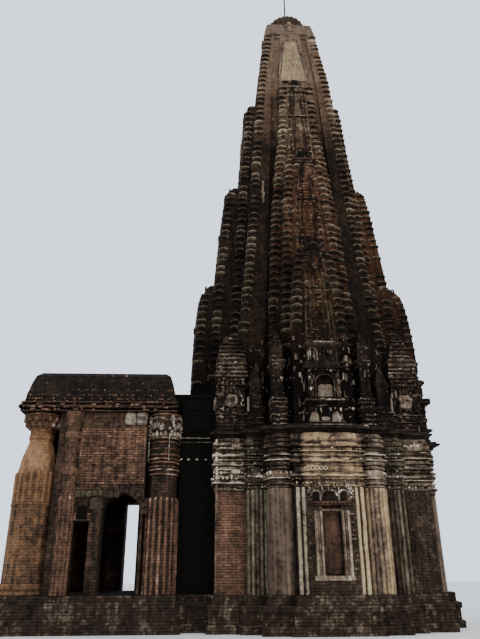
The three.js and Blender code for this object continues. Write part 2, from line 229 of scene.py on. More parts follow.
class Stone:
    """Points and faces of one piece, with a tone for each point: 0 in a black joint or painted shade, 1 on
    pale lime or a painted highlight
    """

    def __init__(self):
        self.points = []
        self.faces = []
        self.tones = []

    def skin(self, rows, tones, ring=True):
        """Joins rows of equally many points, with a tone for each row or point, and closes both ends"""
        start = len(self.points)
        count = len(rows[0])
        for row in range(len(rows) - 1):
            for step in range(count if ring else count - 1):
                a = start + row * count + step
                b = start + row * count + (step + 1) % count
                self.faces.append([a, b, b + count, a + count])
        last = start + (len(rows) - 1) * count
        self.faces.append([start + step for step in reversed(range(count))])
        self.faces.append([last + step for step in range(count)])
        for row, tone in zip(rows, tones):
            self.points.extend(row)
            self.tones.extend(tone if isinstance(tone, list) else [tone] * count)

    def slab(self, quarter, u0, u1, v0, v1, z0, z1, tone, chamfer=0.012):
        """A block on a side, with its outer edges bevelled"""
        rows = []
        for z, inset in ((z0, chamfer), (z0 + chamfer, 0.0), (z1 - chamfer, 0.0), (z1, chamfer)):
            rows.append(at_height(quarter, z, (
                (u0 + inset, v0), (u0 + inset, v1 - chamfer - inset), (u0 + chamfer + inset, v1 - inset),
                (u1 - chamfer - inset, v1 - inset), (u1 - inset, v1 - chamfer - inset), (u1 - inset, v0),
            )))
        self.skin(rows, [tone] * len(rows))

    def panel(self, quarter, u, half, v0, v1, z0, z1, tone, crown):
        """A slab on a side with a round head; crown is the head's rise as a share of half its width"""
        chamfer = 0.02
        rise = half * crown
        rows = []
        for v, inset in ((v0, 0.0), (v1 - chamfer, 0.0), (v1, chamfer)):
            width = half - inset
            row = [turned(quarter, u - width, v, z0 + inset), turned(quarter, u + width, v, z0 + inset)]
            for step in range(7):
                angle = math.pi * step / 6
                height = z1 - rise + (rise - inset) * math.sin(angle)
                row.append(turned(quarter, u + width * math.cos(angle), v, height))
            rows.append(row)
        # Darker towards the wall than on its face: painted shade round the panel's edge
        self.skin(rows, [tone * 0.3, tone * 0.8, tone])

    def lathe(self, centre, profile, sides, lobes=0, depth=0.0):
        """Turns a profile of (radius, height, tone) about an upright axis, with lobes round it"""
        rows = []
        for radius, z, _ in profile:
            row = []
            for step in range(sides):
                angle = 2 * math.pi * step / sides
                swell = depth * (abs(math.cos(lobes * angle / 2)) - 1)
                x, y = centre
                around = radius + swell * radius
                row.append(Vector((x + around * math.cos(angle), y + around * math.sin(angle), z)))
            rows.append(row)
        self.skin(rows, [tone for _, _, tone in profile])

    def sweep(self, path, profile, wear=0.5, seed=0.0):
        """Runs a profile of (out, height, tone) along a plan path whose outer side is on its right"""
        rows = []
        tones = []
        for (x, y), mitre in zip(path, mitres_of(path)):
            row = []
            shades = []
            for out, z, tone in profile:
                lost = ripple((x, y, z * 4), 0.42, seed) + 0.5 * ripple((x, y, z * 3), 0.15, seed + 5)
                keep = 1.0 if lost < 0.3 else 1.0 - wear * min((lost - 0.3) * 7, 1.0)
                rough = 0.012 * ripple((x, y, z), 0.1, seed + 3)
                offset = max(out * keep + rough, out * 0.4) if out > 0 else out
                row.append(Vector((x, y, z)) + Vector((mitre[0], mitre[1], 0)) * offset)
                patch = 0.85 + 0.5 * ripple((x, y, z * 3), 0.7, seed + 9)
                patch += 0.5 * ripple((x, y, z * 2), 0.16, seed)
                shades.append(tone * patch * (1.0 if keep > 0.9 else 0.55) if tone > 0 else tone)
            rows.append(row)
            tones.append(shades)
        self.skin(rows, tones, ring=False)

    def wobble(self, amount, size):
        """Takes the straightness out of a worn piece"""
        for index, point in enumerate(self.points):
            self.points[index] = point + noise.noise_vector(point / size) * amount

    def mesh(self, name):
        """The piece as a mesh with its faces outwards"""
        mesh = toned_mesh(name, self.points, [], self.faces, self.tones)
        tidy_normals(mesh)
        return mesh

    def build(self, name, finish):
        """Makes the piece and hands it to the frame"""
        piece = placed(name, self.mesh(name))
        piece.data.materials.append(finish_of(finish))
        hand_over(piece, finish)
        return piece


def tidy_normals(mesh):
    """Joins points that coincide and turns the faces outwards"""
    shell = bmesh.new()
    shell.from_mesh(mesh)
    bmesh.ops.remove_doubles(shell, verts=shell.verts, dist=0.00005)
    bmesh.ops.recalc_face_normals(shell, faces=shell.faces)
    shell.to_mesh(mesh)
    shell.free()


def keep_inside(piece):
    """Presses what stands outside the frame's box back to its faces"""
    low, high = CAD_BOUNDS
    for vertex in piece.data.vertices:
        vertex.co = [min(max(value, least), most) for value, least, most in zip(vertex.co, low, high)]


def hand_over(piece, finish):
    """Gives the frame a finished piece, which rides on the one body"""
    if not piece.data.polygons:
        raise RuntimeError(piece.name + " has no faces")
    keep_inside(piece)
    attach(piece, "root")


def mitres_of(path):
    """How each point of a path moves for each metre that the path moves outwards"""
    normals = []
    for (x0, y0), (x1, y1) in zip(path, path[1:]):
        length = math.hypot(x1 - x0, y1 - y0)
        normals.append(((y1 - y0) / length, (x0 - x1) / length))
    mitres = []
    for before, after in zip([normals[0]] + normals, normals + [normals[-1]]):
        spread = max(1 + before[0] * after[0] + before[1] * after[1], 0.4)
        mitres.append(((before[0] + after[0]) / spread, (before[1] + after[1]) / spread))
    return mitres


def dense(path, step):
    """Adds points to a path so that none of its stretches is longer than the step"""
    points = []
    for (x0, y0), (x1, y1) in zip(path, path[1:]):
        parts = max(1, math.ceil(math.hypot(x1 - x0, y1 - y0) / step))
        points.extend((x0 + (x1 - x0) * part / parts, y0 + (y1 - y0) * part / parts) for part in range(parts))
    points.append(path[-1])
    return points


def plan_path(quarter, run, step):
    """Plan path through a run of (u, v) on a side, with points no further apart than the step"""
    return dense([tuple(place[:2]) for place in at_height(quarter, 0, run)], step)


def fronted(quarter, half, front, back, step):
    """Plan path round three sides of a block that stands out from the middle of a side"""
    return plan_path(quarter, [(-half, back), (-half, front), (half, front), (half, back)], step)


def bead(z, height, out, tone, back=-0.03):
    """Profile of a round-nosed moulding"""
    foot, head = z - height / 2, z + height / 2
    # The underside is painted near black and the nose palest: painted shade under the moulding
    return [
        (back, foot, 0.0), (out * 0.55, foot, 0.1), (out * 0.95, foot + height * 0.3, tone * 0.8),
        (out, foot + height * 0.6, tone), (out * 0.7, head, tone * 0.9), (back, head, 0.3),
    ]


def moulded(foot, head, lines, plain):
    """Profile of a height of wall, with a moulding over a groove painted dark as shade for each (z, height,
    out, tone)
    """
    profile = [(-0.05, foot, 0.0), (proud(foot), foot, plain)]
    for z, height, out, tone in lines:
        low, high = z - height / 2, z + height / 2
        base = proud(z)
        # The groove and the moulding's underside are painted darker than the plain wall: painted shade under
        # the moulding
        profile += [
            (proud(low - 0.035), low - 0.035, plain), (proud(low - 0.03), low - 0.03, plain - GROOVE_SHADE),
            (base + out * 0.55, low, plain - GROOVE_SHADE), (base + out, low + height * 0.3, tone * 0.9),
            (base + out, low + height * 0.7, tone), (base + out * 0.5, high, tone * 0.9),
            (proud(high + 0.006), high + 0.006, plain),
        ]
    return profile + [(proud(head), head, plain), (-0.05, head, 0.0)]


def proud(z):
    """How far the render stands out from the plan, so that it covers the frame's own bands"""
    for low, high, out in ((3.7, 3.85, 0.05), (4.13, 4.29, 0.06), (4.56, 4.8, 0.07)):
        if low - 0.02 < z < high + 0.02:
            return out + 0.012
    return 0.014


class Rubble:
    """Small worn blocks set out on the sides, which together make one piece"""

    def __init__(self, seed):
        self.dice = random.Random(seed)
        self.spots = []

    def mark(self, quarter, u, z, width, height, tone, v=None, out=0.03):
        """One block centred on a place of a side; without v it lies on whatever stands there"""
        v = surface(quarter, u, z) if v is None else v
        if v is not None:
            place = turned(quarter, u, v, z - height / 2)
            self.spots.append((place, bearing(quarter), (width, out, height), tone))

    def course(self, quarter, u0, u1, z, height, chance, low, high, v):
        """A broken row of blocks, each with a tone between low and high"""
        dice = self.dice
        u = u0
        while u < u1 - 0.03:
            width = min(dice.uniform(0.04, 0.13), u1 - u)
            if dice.random() < chance:
                self.mark(
                    quarter, u + width / 2, z + dice.uniform(-0.012, 0.012), width * 0.92,
                    height * dice.uniform(0.6, 1.0), dice.uniform(low, high), v, dice.uniform(0.02, 0.05))
            u += width + dice.uniform(0.0, 0.03)

    def wrap(self, quarter, u, half, back, front, z, height, chance, low, high):
        """A broken row round the front and both flanks of a block on a side"""
        self.course(quarter, u - half, u + half, z, height, chance, low, high, front)
        self.course(quarter + 3, back, front, z, height, chance, low, high, half - u)
        self.course(quarter + 1, -front, -back, z, height, chance, low, high, half + u)

    def strokes(self, quarter, u0, u1, z0, z1, count, low, high, v):
        """Upright slivers scattered over a stretch of a side"""
        dice = self.dice
        for _ in range(count):
            self.mark(
                quarter, dice.uniform(u0, u1), dice.uniform(z0, z1), dice.uniform(0.018, 0.04),
                dice.uniform(0.05, 0.15), dice.uniform(low, high), v, dice.uniform(0.015, 0.035))

    def build(self, name, finish, wear=0.03):
        stand(name, brick_unit(), self.spots, finish, wear=wear, wear_scale=7.0)


# Trees that set out repeated units

def new_tree(name, inputs):
    """A tree with its own inputs, and the finish and the wear that both trees have"""
    tree = bpy.data.node_groups.new(name, "GeometryNodeTree")
    shared = [
        ("Finish", "NodeSocketMaterial", None), ("Wear", "NodeSocketFloat", 0.03),
        ("Wear scale", "NodeSocketFloat", 3.0),
    ]
    for label, kind, default in inputs + shared:
        socket = tree.interface.new_socket(label, in_out="INPUT", socket_type=kind)
        if default is not None:
            socket.default_value = default
    tree.interface.new_socket("Built", in_out="OUTPUT", socket_type="NodeSocketGeometry")
    return tree


def add_node(tree, kind, inputs=(), **settings):
    """A node with its settings, whose inputs are values or the sockets they come from"""
    node = tree.nodes.new(kind)
    for key, value in settings.items():
        setattr(node, key, value)
    for key, value in dict(inputs).items():
        if isinstance(value, bpy.types.NodeSocket):
            tree.links.new(value, node.inputs[key])
        else:
            node.inputs[key].default_value = value
    return node


def vector_math(tree, kind, inputs):
    return add_node(tree, "ShaderNodeVectorMath", inputs, operation=kind).outputs["Vector"]


def finished(tree, geometry, given):
    """Makes the geometry real, moves each point by noise so that no two units are alike, and paints it"""
    real = add_node(tree, "GeometryNodeRealizeInstances", {"Geometry": geometry}).outputs["Geometry"]
    place = add_node(tree, "GeometryNodeInputPosition").outputs["Position"]
    settings = {"Vector": place, "Scale": given["Wear scale"], "Detail": 2.0}
    field = add_node(tree, "ShaderNodeTexNoise", settings).outputs["Color"]
    centred = vector_math(tree, "SUBTRACT", {0: field, 1: (0.5, 0.5, 0.5)})
    shift = vector_math(tree, "SCALE", {0: centred, "Scale": given["Wear"]})
    worn = add_node(tree, "GeometryNodeSetPosition", {"Geometry": real, "Offset": shift}).outputs["Geometry"]
    painted = add_node(tree, "GeometryNodeSetMaterial", {"Geometry": worn, "Material": given["Finish"]})
    add_node(tree, "NodeGroupOutput", {"Built": painted.outputs["Geometry"]})
    return tree


def standing_tree():
    """Stands the unit on every point, turned and sized by the point's own values"""
    tree = new_tree("stand_units", [
        ("Points", "NodeSocketGeometry", None), ("Unit", "NodeSocketObject", None),
        ("Turn jitter", "NodeSocketFloat", 0.03), ("Seed", "NodeSocketInt", 11),
    ])
    given = add_node(tree, "NodeGroupInput").outputs
    turn, size = (
        add_node(tree, "GeometryNodeInputNamedAttribute", {"Name": name}, data_type="FLOAT_VECTOR")
        for name in ("turn", "size")
    )
    ends = {2: -1.0, 3: 1.0}
    chance = add_node(tree, "FunctionNodeRandomValue", {**ends, "Seed": given["Seed"]}, data_type="FLOAT")
    swing = add_node(
        tree, "ShaderNodeMath", {0: chance.outputs[1], 1: given["Turn jitter"]}, operation="MULTIPLY")
    swung = add_node(tree, "ShaderNodeCombineXYZ", {"Z": swing.outputs["Value"]}).outputs["Vector"]
    unit = add_node(tree, "GeometryNodeObjectInfo", {"Object": given["Unit"]}).outputs["Geometry"]
    standing = add_node(tree, "GeometryNodeInstanceOnPoints", {
        "Points": given["Points"], "Instance": unit, "Scale": size.outputs["Attribute"],
        "Rotation": vector_math(tree, "ADD", {0: turn.outputs["Attribute"], 1: swung}),
    })
    return finished(tree, standing.outputs["Instances"], given)


def fillet_tree():
    """Runs a round fillet along every line of points"""
    tree = new_tree("run_fillets", [
        ("Lines", "NodeSocketGeometry", None), ("Radius", "NodeSocketFloat", 0.03),
    ])
    given = add_node(tree, "NodeGroupInput").outputs
    curve = add_node(tree, "GeometryNodeMeshToCurve", {"Mesh": given["Lines"]})
    section = add_node(tree, "GeometryNodeCurvePrimitiveCircle", {"Resolution": 6, "Radius": given["Radius"]})
    rod = add_node(tree, "GeometryNodeCurveToMesh", {
        "Curve": curve.outputs["Curve"], "Profile Curve": section.outputs["Curve"], "Fill Caps": True,
    })
    return finished(tree, rod.outputs["Mesh"], given)


def socket_id(tree, label):
    return next(item.identifier for item in tree.interface.items_tree if item.name == label)


def grown(name, base, maker, finish, values):
    """Evaluates a tree on a base mesh and keeps the result as one plain piece"""
    tree = bpy.data.node_groups.get(maker.__name__) or maker()
    tree.name = maker.__name__
    carrier = placed(name + "_base", base)
    modifier = carrier.modifiers.new("Grow", "NODES")
    modifier.node_group = tree
    modifier[socket_id(tree, "Finish")] = finish_of(finish)
    for label, value in values.items():
        modifier[socket_id(tree, label)] = value
    solved = carrier.evaluated_get(bpy.context.evaluated_depsgraph_get())
    mesh = bpy.data.meshes.new_from_object(solved)
    bpy.data.objects.remove(carrier)
    hand_over(placed(name, mesh), finish)


def stand(name, unit, spots, finish, wear=0.04, jitter=0.03, wear_scale=3.0):
    """One piece of many like units; a spot is (place, turn about Z or a full turn, size, shade)"""
    cloud = bpy.data.meshes.new(name + "_spots")
    cloud.from_pydata([spot[0] for spot in spots], [], [])
    turns = [(0.0, 0.0, spot[1]) if isinstance(spot[1], (int, float)) else spot[1] for spot in spots]
    for label, vectors in (("turn", turns), ("size", [spot[2] for spot in spots])):
        attribute = cloud.attributes.new(label, "FLOAT_VECTOR", "POINT")
        attribute.data.foreach_set("vector", [number for vector in vectors for number in vector])
    cloud.attributes.new("shade", "FLOAT", "POINT").data.foreach_set("value", [spot[3] for spot in spots])
    helper = placed(name + "_unit", unit.mesh("unit"))
    values = {"Unit": helper, "Wear": wear, "Turn jitter": jitter, "Wear scale": wear_scale}
    grown(name, cloud, standing_tree, finish, values)
    bpy.data.objects.remove(helper)


def fillets(name, lines, finish, radius, wear=0.03):
    """Round fillets along lines; a line is a list of (place, tone)"""
    places = []
    edges = []
    tones = []
    for line in lines:
        start = len(places)
        places.extend(place for place, _ in line)
        tones.extend(tone for _, tone in line)
        edges.extend((start + step, start + step + 1) for step in range(len(line) - 1))
    mesh = toned_mesh(name + "_lines", places, edges, [], tones)
    grown(name, mesh, fillet_tree, finish, {"Radius": radius, "Wear": wear})


# Finishes

def paint(text):
    """Linear colour of a hex colour"""
    shades = [int(text[place:place + 2], 16) / 255 for place in (0, 2, 4)]
    return tuple(shade / 12.92 if shade < 0.04045 else ((shade + 0.055) / 1.055) ** 2.4 for shade in shades)


def mix(cover, **own):
    """One finish: its own values over those that most finishes share"""
    shared = {
        "slot": "weathered_brick", "patch": 0.3, "streak": 0.3, "mid": 0.4, "grain": 0.2, "bump": 0.6,
        "metal": 0.0,
    }
    return {**shared, "cover": cover, **own}


SPIRE = dict(
    streak=0.36, mid=0.34, brick=0.5, bump=0.7, fleck=0.3,
    stops=dict(soot=0.0, umber=0.34, earth=0.66, ash=0.98))
RIB = dict(
    slot="lime_render", patch=0.36, streak=0.26, mid=0.44,
    stops=dict(soot=0.0, umber=0.3, ash=0.62, lime=1.05))

# cover: how much lime is left; patch, streak, mid and grain: how much each noise takes or leaves of it;
# tone and shade: how much a piece's own values count; stops: colours from bare soot to whole lime;
# lift and rise: what the share of the height adds to the lime and which tint it gives;
# fleck: bright specks; brick: how deep the joints are; bump: strength of the relief
FINISHES = {
    "spire": mix(
        0.3, **SPIRE,
        lift=[(0.0, 0.06), (0.4, 0.06), (0.6, 0.06), (0.64, 0.24), (0.736, 0.36), (0.742, 0.42)],
        rise=[
            (0.0, "90887c"), (0.3, "8c8474"), (0.44, "989084"), (0.6, "a89e90"), (0.66, "e0d2c6"),
            (0.738, "f4e6d8"), (1.0, "ffffff"),
        ]),
    "tier": mix(
        0.08, **SPIRE,
        lift=[
            (0.0, 0.0), (0.272, 0.0), (0.29, 0.26), (0.36, 0.34), (0.44, 0.48), (0.56, 0.56), (0.66, 0.66),
            (0.72, 0.66),
        ],
        rise=[
            (0.0, "90887c"), (0.3, "98806a"), (0.4, "a48468"), (0.46, "bc947c"), (0.56, "c49e88"),
            (0.6, "baa898"), (0.66, "dacec2"), (0.72, "e0d6cc"), (1.0, "ffffff"),
        ]),
    # The west half-spires are painted darker and greyer than the others: painted shade on the side away from
    # the light
    "tier_west": mix(
        0.04, **SPIRE,
        lift=[
            (0.0, 0.0), (0.272, 0.0), (0.29, 0.22), (0.36, 0.28), (0.44, 0.3), (0.56, 0.3), (0.66, 0.36),
            (0.72, 0.4),
        ],
        rise=[
            (0.0, "90887c"), (0.3, "948c84"), (0.46, "a49c94"), (0.6, "aca69e"), (0.72, "d0c8c0"),
            (1.0, "ffffff"),
        ]),
    "band": mix(
        0.12, **RIB, tone=0.5, shade=0.3,
        rise=[
            (0.0, "8c8678"), (0.3, "8c7c68"), (0.42, "988068"), (0.48, "b89884"), (0.58, "d4bcac"),
            (0.68, "e8dccc"), (1.0, "ffffff"),
        ]),
    "rib": mix(
        -0.06, **RIB, tone=0.62, shade=0.42,
        rise=[
            (0.0, "8c8678"), (0.3, "8c887a"), (0.42, "a8a296"), (0.5, "c4bcb0"), (0.6, "dcd2c4"),
            (0.68, "ece0d4"), (0.738, "f8ecde"), (0.75, "ffeedd"), (1.0, "ffffff"),
        ]),
    "turret": mix(
        0.04, grain=0.24, tone=0.5, shade=0.5, brick=0.3, bump=0.7,
        lift=[(0.0, 0.0), (0.245, 0.0), (0.26, 0.2), (0.278, 0.16), (0.3, 0.02)],
        stops=dict(soot=0.0, umber=0.35, earth=0.62, ash=0.9, lime=1.2)),
    "speck": mix(
        0.1, grain=0.24, tone=0.5, shade=0.45,
        stops=dict(soot=0.0, umber=0.35, earth=0.62, ash=0.9, lime=1.0)),
    # Finish of the flat niche panels, dark as painted shade of recesses
    "recess": mix(0.22, patch=0.2, streak=0.2, mid=0.3, tone=0.2, stops=dict(soot=0.0, umber=0.5, brick=1.0)),
    "west_pier": mix(
        0.42, slot="red_brick", patch=0.26, mid=0.3, tone=0.16, shade=0.3, brick=0.2,
        lift=[
            (0.0, 0.0), (0.118, 0.0), (0.122, 0.04), (0.148, 0.08), (0.156, 0.26), (0.178, 0.26), (0.19, 0.0),
        ],
        stops=dict(soot=0.0, umber=0.25, salmon=0.6, peach=1.0)),
    "arch": mix(
        0.16, streak=0.2, mid=0.44, grain=0.3, tone=0.5, bump=0.9,
        stops=dict(soot=0.0, umber=0.35, olive=0.7, ash=1.0)),
    "hall_roof": mix(
        0.14, patch=0.34, streak=0.1, grain=0.3, brick=0.3, bump=0.7, fleck=0.3,
        stops=dict(soot=0.0, umber=0.5, moss=0.8, ash=1.0)),
    "boss": mix(
        0.1, slot="lime_render", streak=0.2, mid=0.5, grain=0.3, tone=0.55, bump=0.8,
        stops=dict(soot=0.0, umber=0.3, earth=0.55, ash=0.85, lime=1.15)),
    # Kept dark partly as painted shade: the cornice's colour stands in for the shadow under its ledge
    "cornice": mix(
        0.17, mid=0.36, grain=0.24, brick=0.4, bump=0.7, fleck=0.2,
        stops=dict(soot=0.0, umber=0.4, earth=0.8, ash=1.1)),
    "crown": mix(
        0.27, slot="tan_render", patch=0.26, streak=0.34, mid=0.26, grain=0.16, tone=0.3,
        stops=dict(umber=0.0, earth=0.34, tan=0.7, cream=1.1)),
    "moss": mix(0.3, streak=0.2, tone=0.4, stops=dict(soot=0.0, umber=0.4, moss=0.8, ash=1.1)),
    "cream_panel": mix(
        0.28, slot="tan_render", patch=0.22, streak=0.34, mid=0.3, grain=0.18, tone=0.3, bump=0.5,
        stops=dict(umber=0.0, earth=0.3, tan=0.6, cream=1.0)),
    "wall": mix(
        0.3, mid=0.34, brick=0.6, bump=0.7, fleck=0.4, stops=dict(soot=0.0, umber=0.35, earth=0.7, tan=1.0)),
    "moulding": mix(
        0.12, slot="lime_render", patch=0.34, mid=0.44, grain=0.3, tone=0.6, shade=0.5,
        stops=dict(soot=0.0, umber=0.25, earth=0.5, grey=0.76, lime=1.0)),
    "strip": mix(
        0.14, mid=0.44, grain=0.3, tone=0.45, shade=0.5,
        stops=dict(soot=0.0, umber=0.3, olive=0.52, ash=0.85, lime=1.2)),
    "bay": mix(
        0.34, slot="tan_render", patch=0.28, mid=0.36, grain=0.26, tone=0.44, shade=0.44,
        stops=dict(soot=0.0, umber=0.22, earth=0.45, clay=0.72, cream=1.0)),
    "shaft": mix(
        0.24, slot="lime_render", patch=0.26, streak=0.44, mid=0.24, grain=0.18, tone=0.3, shade=0.3,
        stops=dict(soot=0.0, umber=0.25, earth=0.55, ash=0.95)),
    "flute": mix(
        0.22, slot="lime_render", patch=0.26, streak=0.44, mid=0.5, grain=0.3, tone=0.4, shade=0.4,
        stops=dict(soot=0.0, umber=0.28, grey=0.6, lime=1.1)),
    "wall_block": mix(
        0.2, grain=0.24, tone=0.4, shade=0.5, bump=0.7,
        stops=dict(soot=0.0, umber=0.3, earth=0.55, ash=0.9, lime=1.2)),
    "brick": mix(
        0.36, slot="red_brick", mid=0.3, grain=0.24, tone=0.1, shade=0.3, bump=0.7,
        stops=dict(soot=0.0, umber=0.3, brick=0.7, rose=1.1)),
    # Near-black finish: partly painted shade, on the passage walls and the flat dark openings, and partly
    # soot
    "dark": mix(
        0.08, patch=0.2, streak=0.25, mid=0.3, tone=0.35, brick=0.5, bump=0.7, fleck=0.3,
        stops=dict(black=0.0, soot=0.5, umber=0.85, ash=1.1)),
    "hall": mix(
        0.32, slot="red_brick", patch=0.34, streak=0.4, mid=0.46, grain=0.3, tone=0.4, shade=0.3, brick=0.5,
        bump=0.7, stops=dict(soot=0.0, umber=0.35, brick=0.7, rose=0.95, lime=1.2)),
    "capital": mix(
        0.16, slot="lime_render", patch=0.25, mid=0.34, tone=0.45, shade=0.3, bump=0.5,
        stops=dict(soot=0.0, umber=0.28, ash=0.6, lime=1.1)),
    "plinth": mix(
        0.3, mid=0.34, tone=0.3, shade=0.3, brick=0.4, bump=0.7,
        stops=dict(soot=0.0, umber=0.35, grey=0.7, lime=1.0)),
    "spot": mix(
        0.1, slot="lime_render", patch=0.2, tone=0.5, shade=0.4, bump=0.5,
        stops=dict(soot=0.0, umber=0.3, ash=0.6, lime=1.1)),
    "iron": mix(
        0.4, slot="iron", streak=0.2, mid=0.0, grain=0.3, bump=0.2, metal=0.6,
        stops=dict(soot=0.0, umber=0.5, brick=1.0)),
}


class Painter:
    """Lays one finish out as shader nodes on object coordinates"""

    def __init__(self, name):
        self.material = bpy.data.materials.new(name)
        self.material.use_nodes = True
        self.tree = self.material.node_tree
        self.tree.nodes.clear()
        self.place = self.node("ShaderNodeTexCoord").outputs["Object"]

    def node(self, kind, inputs=(), **settings):
        return add_node(self.tree, kind, inputs, **settings)

    def noise(self, scale, detail=4.0, stretch=(1.0, 1.0, 1.0), roughness=0.6):
        moved = self.node("ShaderNodeMapping", {"Vector": self.place, "Scale": stretch})
        return self.node("ShaderNodeTexNoise", {
            "Vector": moved.outputs["Vector"], "Scale": scale, "Detail": detail, "Roughness": roughness,
        }).outputs["Fac"]

    def math(self, kind, first, second, third=0.0):
        return self.node("ShaderNodeMath", {0: first, 1: second, 2: third}, operation=kind).outputs["Value"]

    def spread(self, value, **ends):
        """Maps a value from one range to another"""
        inputs = {key.replace("_", " ").title(): end for key, end in ends.items()}
        return self.node("ShaderNodeMapRange", {"Value": value, **inputs}).outputs["Result"]

    def centred(self, field, weight, start):
        """Adds a noise, as much up as down, to a running value"""
        return self.math("MULTIPLY_ADD", field, 2 * weight, self.math("SUBTRACT", start, weight))

    def attribute(self, name):
        return self.node("ShaderNodeAttribute", attribute_name=name).outputs["Fac"]

    def ramp(self, value, stops):
        """Colour ramp through stops of (position, colour)"""
        node = self.node("ShaderNodeValToRGB", {"Fac": value})
        for index, (position, colour) in enumerate(stops):
            elements = node.color_ramp.elements
            element = elements[index] if index < 2 else elements.new(position)
            element.position = position
            element.color = (*colour, 1.0)
        return node.outputs["Color"]

    def tinted(self, colour, tint):
        """The product of two colours"""
        factor, first, second = 0, 6, 7
        inputs = {factor: 1.0, first: colour, second: tint}
        return self.node("ShaderNodeMix", inputs, data_type="RGBA", blend_type="MULTIPLY").outputs[2]


def finish_of(name):
    made = bpy.data.materials.get("temple_" + name)
    return made or masonry(name, FINISHES[name])


def masonry(name, look):
    """Soot, brick and worn lime: patches, rain streaks, grain, flecks, tints by height, joints and bump"""
    colours = bpy.context.scene.temple_colours
    art = Painter("temple_" + name)
    patches = art.noise(0.9, 5.0)
    blots = art.noise(3.6, roughness=0.65)
    mid = art.noise(9.0, 3.0)
    streaks = art.noise(1.0, stretch=(7.0, 7.0, 0.6), roughness=0.65)
    grain = art.noise(21.0, roughness=0.75)
    value = art.centred(patches, look["patch"], look["cover"])
    value = art.centred(blots, look["patch"] * 0.8, value)
    for field, weight in ((streaks, "streak"), (mid, "mid"), (grain, "grain")):
        value = art.centred(field, look[weight], value)
    for attribute in ("tone", "shade"):
        if attribute in look:
            value = art.math("MULTIPLY_ADD", art.attribute(attribute), look[attribute], value)
    if "fleck" in look:
        fleck = art.spread(art.noise(6.5, 3.0, (1.0, 1.0, 1.5), 0.7), from_min=0.58, from_max=0.7)
        value = art.math("MULTIPLY_ADD", fleck, look["fleck"], value)
    height = art.math("MULTIPLY_ADD", mid, 0.8, grain)
    axes = art.node("ShaderNodeSeparateXYZ", {"Vector": art.place}).outputs
    level = art.math("DIVIDE", axes["Z"], WHOLE_HEIGHT)
    if "lift" in look:
        lifted = art.ramp(level, [(stop, (gain, gain, gain)) for stop, gain in look["lift"]])
        value = art.math("ADD", value, lifted)
    if "brick" in look:
        sideways = art.math("ADD", axes["X"], axes["Y"])
        laid = art.node("ShaderNodeCombineXYZ", {"X": sideways, "Y": axes["Z"]}).outputs["Vector"]
        joints = art.node("ShaderNodeTexBrick", {
            "Vector": laid, "Scale": 1.0, "Mortar Size": TEXTURE_JOINT, "Mortar Smooth": 0.4,
            "Brick Width": TEXTURE_BRICK[0], "Row Height": TEXTURE_BRICK[1],
        }).outputs["Fac"]
        height = art.math("MULTIPLY_ADD", joints, -look["brick"], height)
        value = art.math("MULTIPLY_ADD", joints, -0.12, value)
    colour = art.ramp(value, [(stop, tuple(getattr(colours, tint))) for tint, stop in look["stops"].items()])
    if "rise" in look:
        colour = art.tinted(colour, art.ramp(level, [(stop, paint(shade)) for stop, shade in look["rise"]]))
    relief = art.math("MULTIPLY_ADD", blots, 0.8, height)
    bump = art.node("ShaderNodeBump", {"Height": relief, "Strength": look["bump"], "Distance": 0.03})
    shader = art.node("ShaderNodeBsdfPrincipled", {
        "Base Color": colour, "Roughness": art.spread(blots, to_min=0.78, to_max=1.0),
        "Normal": bump.outputs["Normal"], "Metallic": look["metal"], "Specular IOR Level": 0.1,
    })
    art.node("ShaderNodeOutputMaterial", {"Surface": shader.outputs["BSDF"]})
    return art.material


# Settings that a user would change

def colour_setting(label, text, shade):
    return FloatVectorProperty(
        name=label, description=text, subtype="COLOR", size=3, min=0.0, max=1.0, default=paint(shade))


def length_setting(label, text, metres):
    return FloatProperty(
        name=label, description=text, default=metres, min=0.0, subtype="DISTANCE", unit="LENGTH")


class TempleColours(bpy.types.PropertyGroup):
    # Kept near black partly as painted shade, for the passage walls in deep shadow, and partly as soot crust
    black: colour_setting("Black", "Passage walls under a thick crust", "080704")
    soot: colour_setting("Soot", "Black crust of weathering", "100c08")
    umber: colour_setting("Umber", "Dark brown brick", "372a20")
    earth: colour_setting("Earth", "Brown render", "665445")
    ash: colour_setting("Ash", "Grey lime", "7c7060")
    grey: colour_setting("Grey", "Grey-tan render of the flutes", "8a7a64")
    lime: colour_setting("Lime", "Pale lime that is left", "beb09a")
    clay: colour_setting("Clay", "Yellowish tan render", "a08460")
    olive: colour_setting("Olive", "Grey-olive render of the strips", "504a38")
    tan: colour_setting("Tan", "Tan render", "94805f")
    cream: colour_setting("Cream", "Cream render", "b8a583")
    moss: colour_setting("Moss", "Green-brown growth on the cap", "4a4228")
    brick: colour_setting("Brick", "Red-brown brick", "6a4c3a")
    rose: colour_setting("Rose", "Pale rose brick", "96705a")
    salmon: colour_setting("Salmon", "Orange-tan render of the hall's west piers", "7f5b3e")
    peach: colour_setting("Peach", "Where that render is cleanest", "ae8864")
    floor: colour_setting("Floor", "Plain pale floor", "d9d7d2")
    sky: colour_setting("Studio", "Pale studio light", "d8e2f0")


class TempleSizes(bpy.types.PropertyGroup):
    rib_pitch: length_setting("Rib pitch", "Height of one rib on the spire", 0.26)
    rib_width: length_setting("Rib width", "Width of a column of ribs", 0.28)
    fillet: length_setting("Fillet radius", "Radius of the upright fillets", 0.024)
    reed_radius: length_setting("Reed radius", "Radius of a reed", 0.042)
    dentil_gap: length_setting("Dentil spacing", "Distance between dentils", 0.13)
    brick_length: length_setting("Brick length", "Length of a brick with its joint", 0.22)
    brick_course: length_setting("Brick course", "Height of a brick course", 0.068)
    wear: length_setting("Wear", "How far weathering has shifted a surface", 0.035)


def sizes():
    return bpy.context.scene.temple_sizes


# Units that repeat

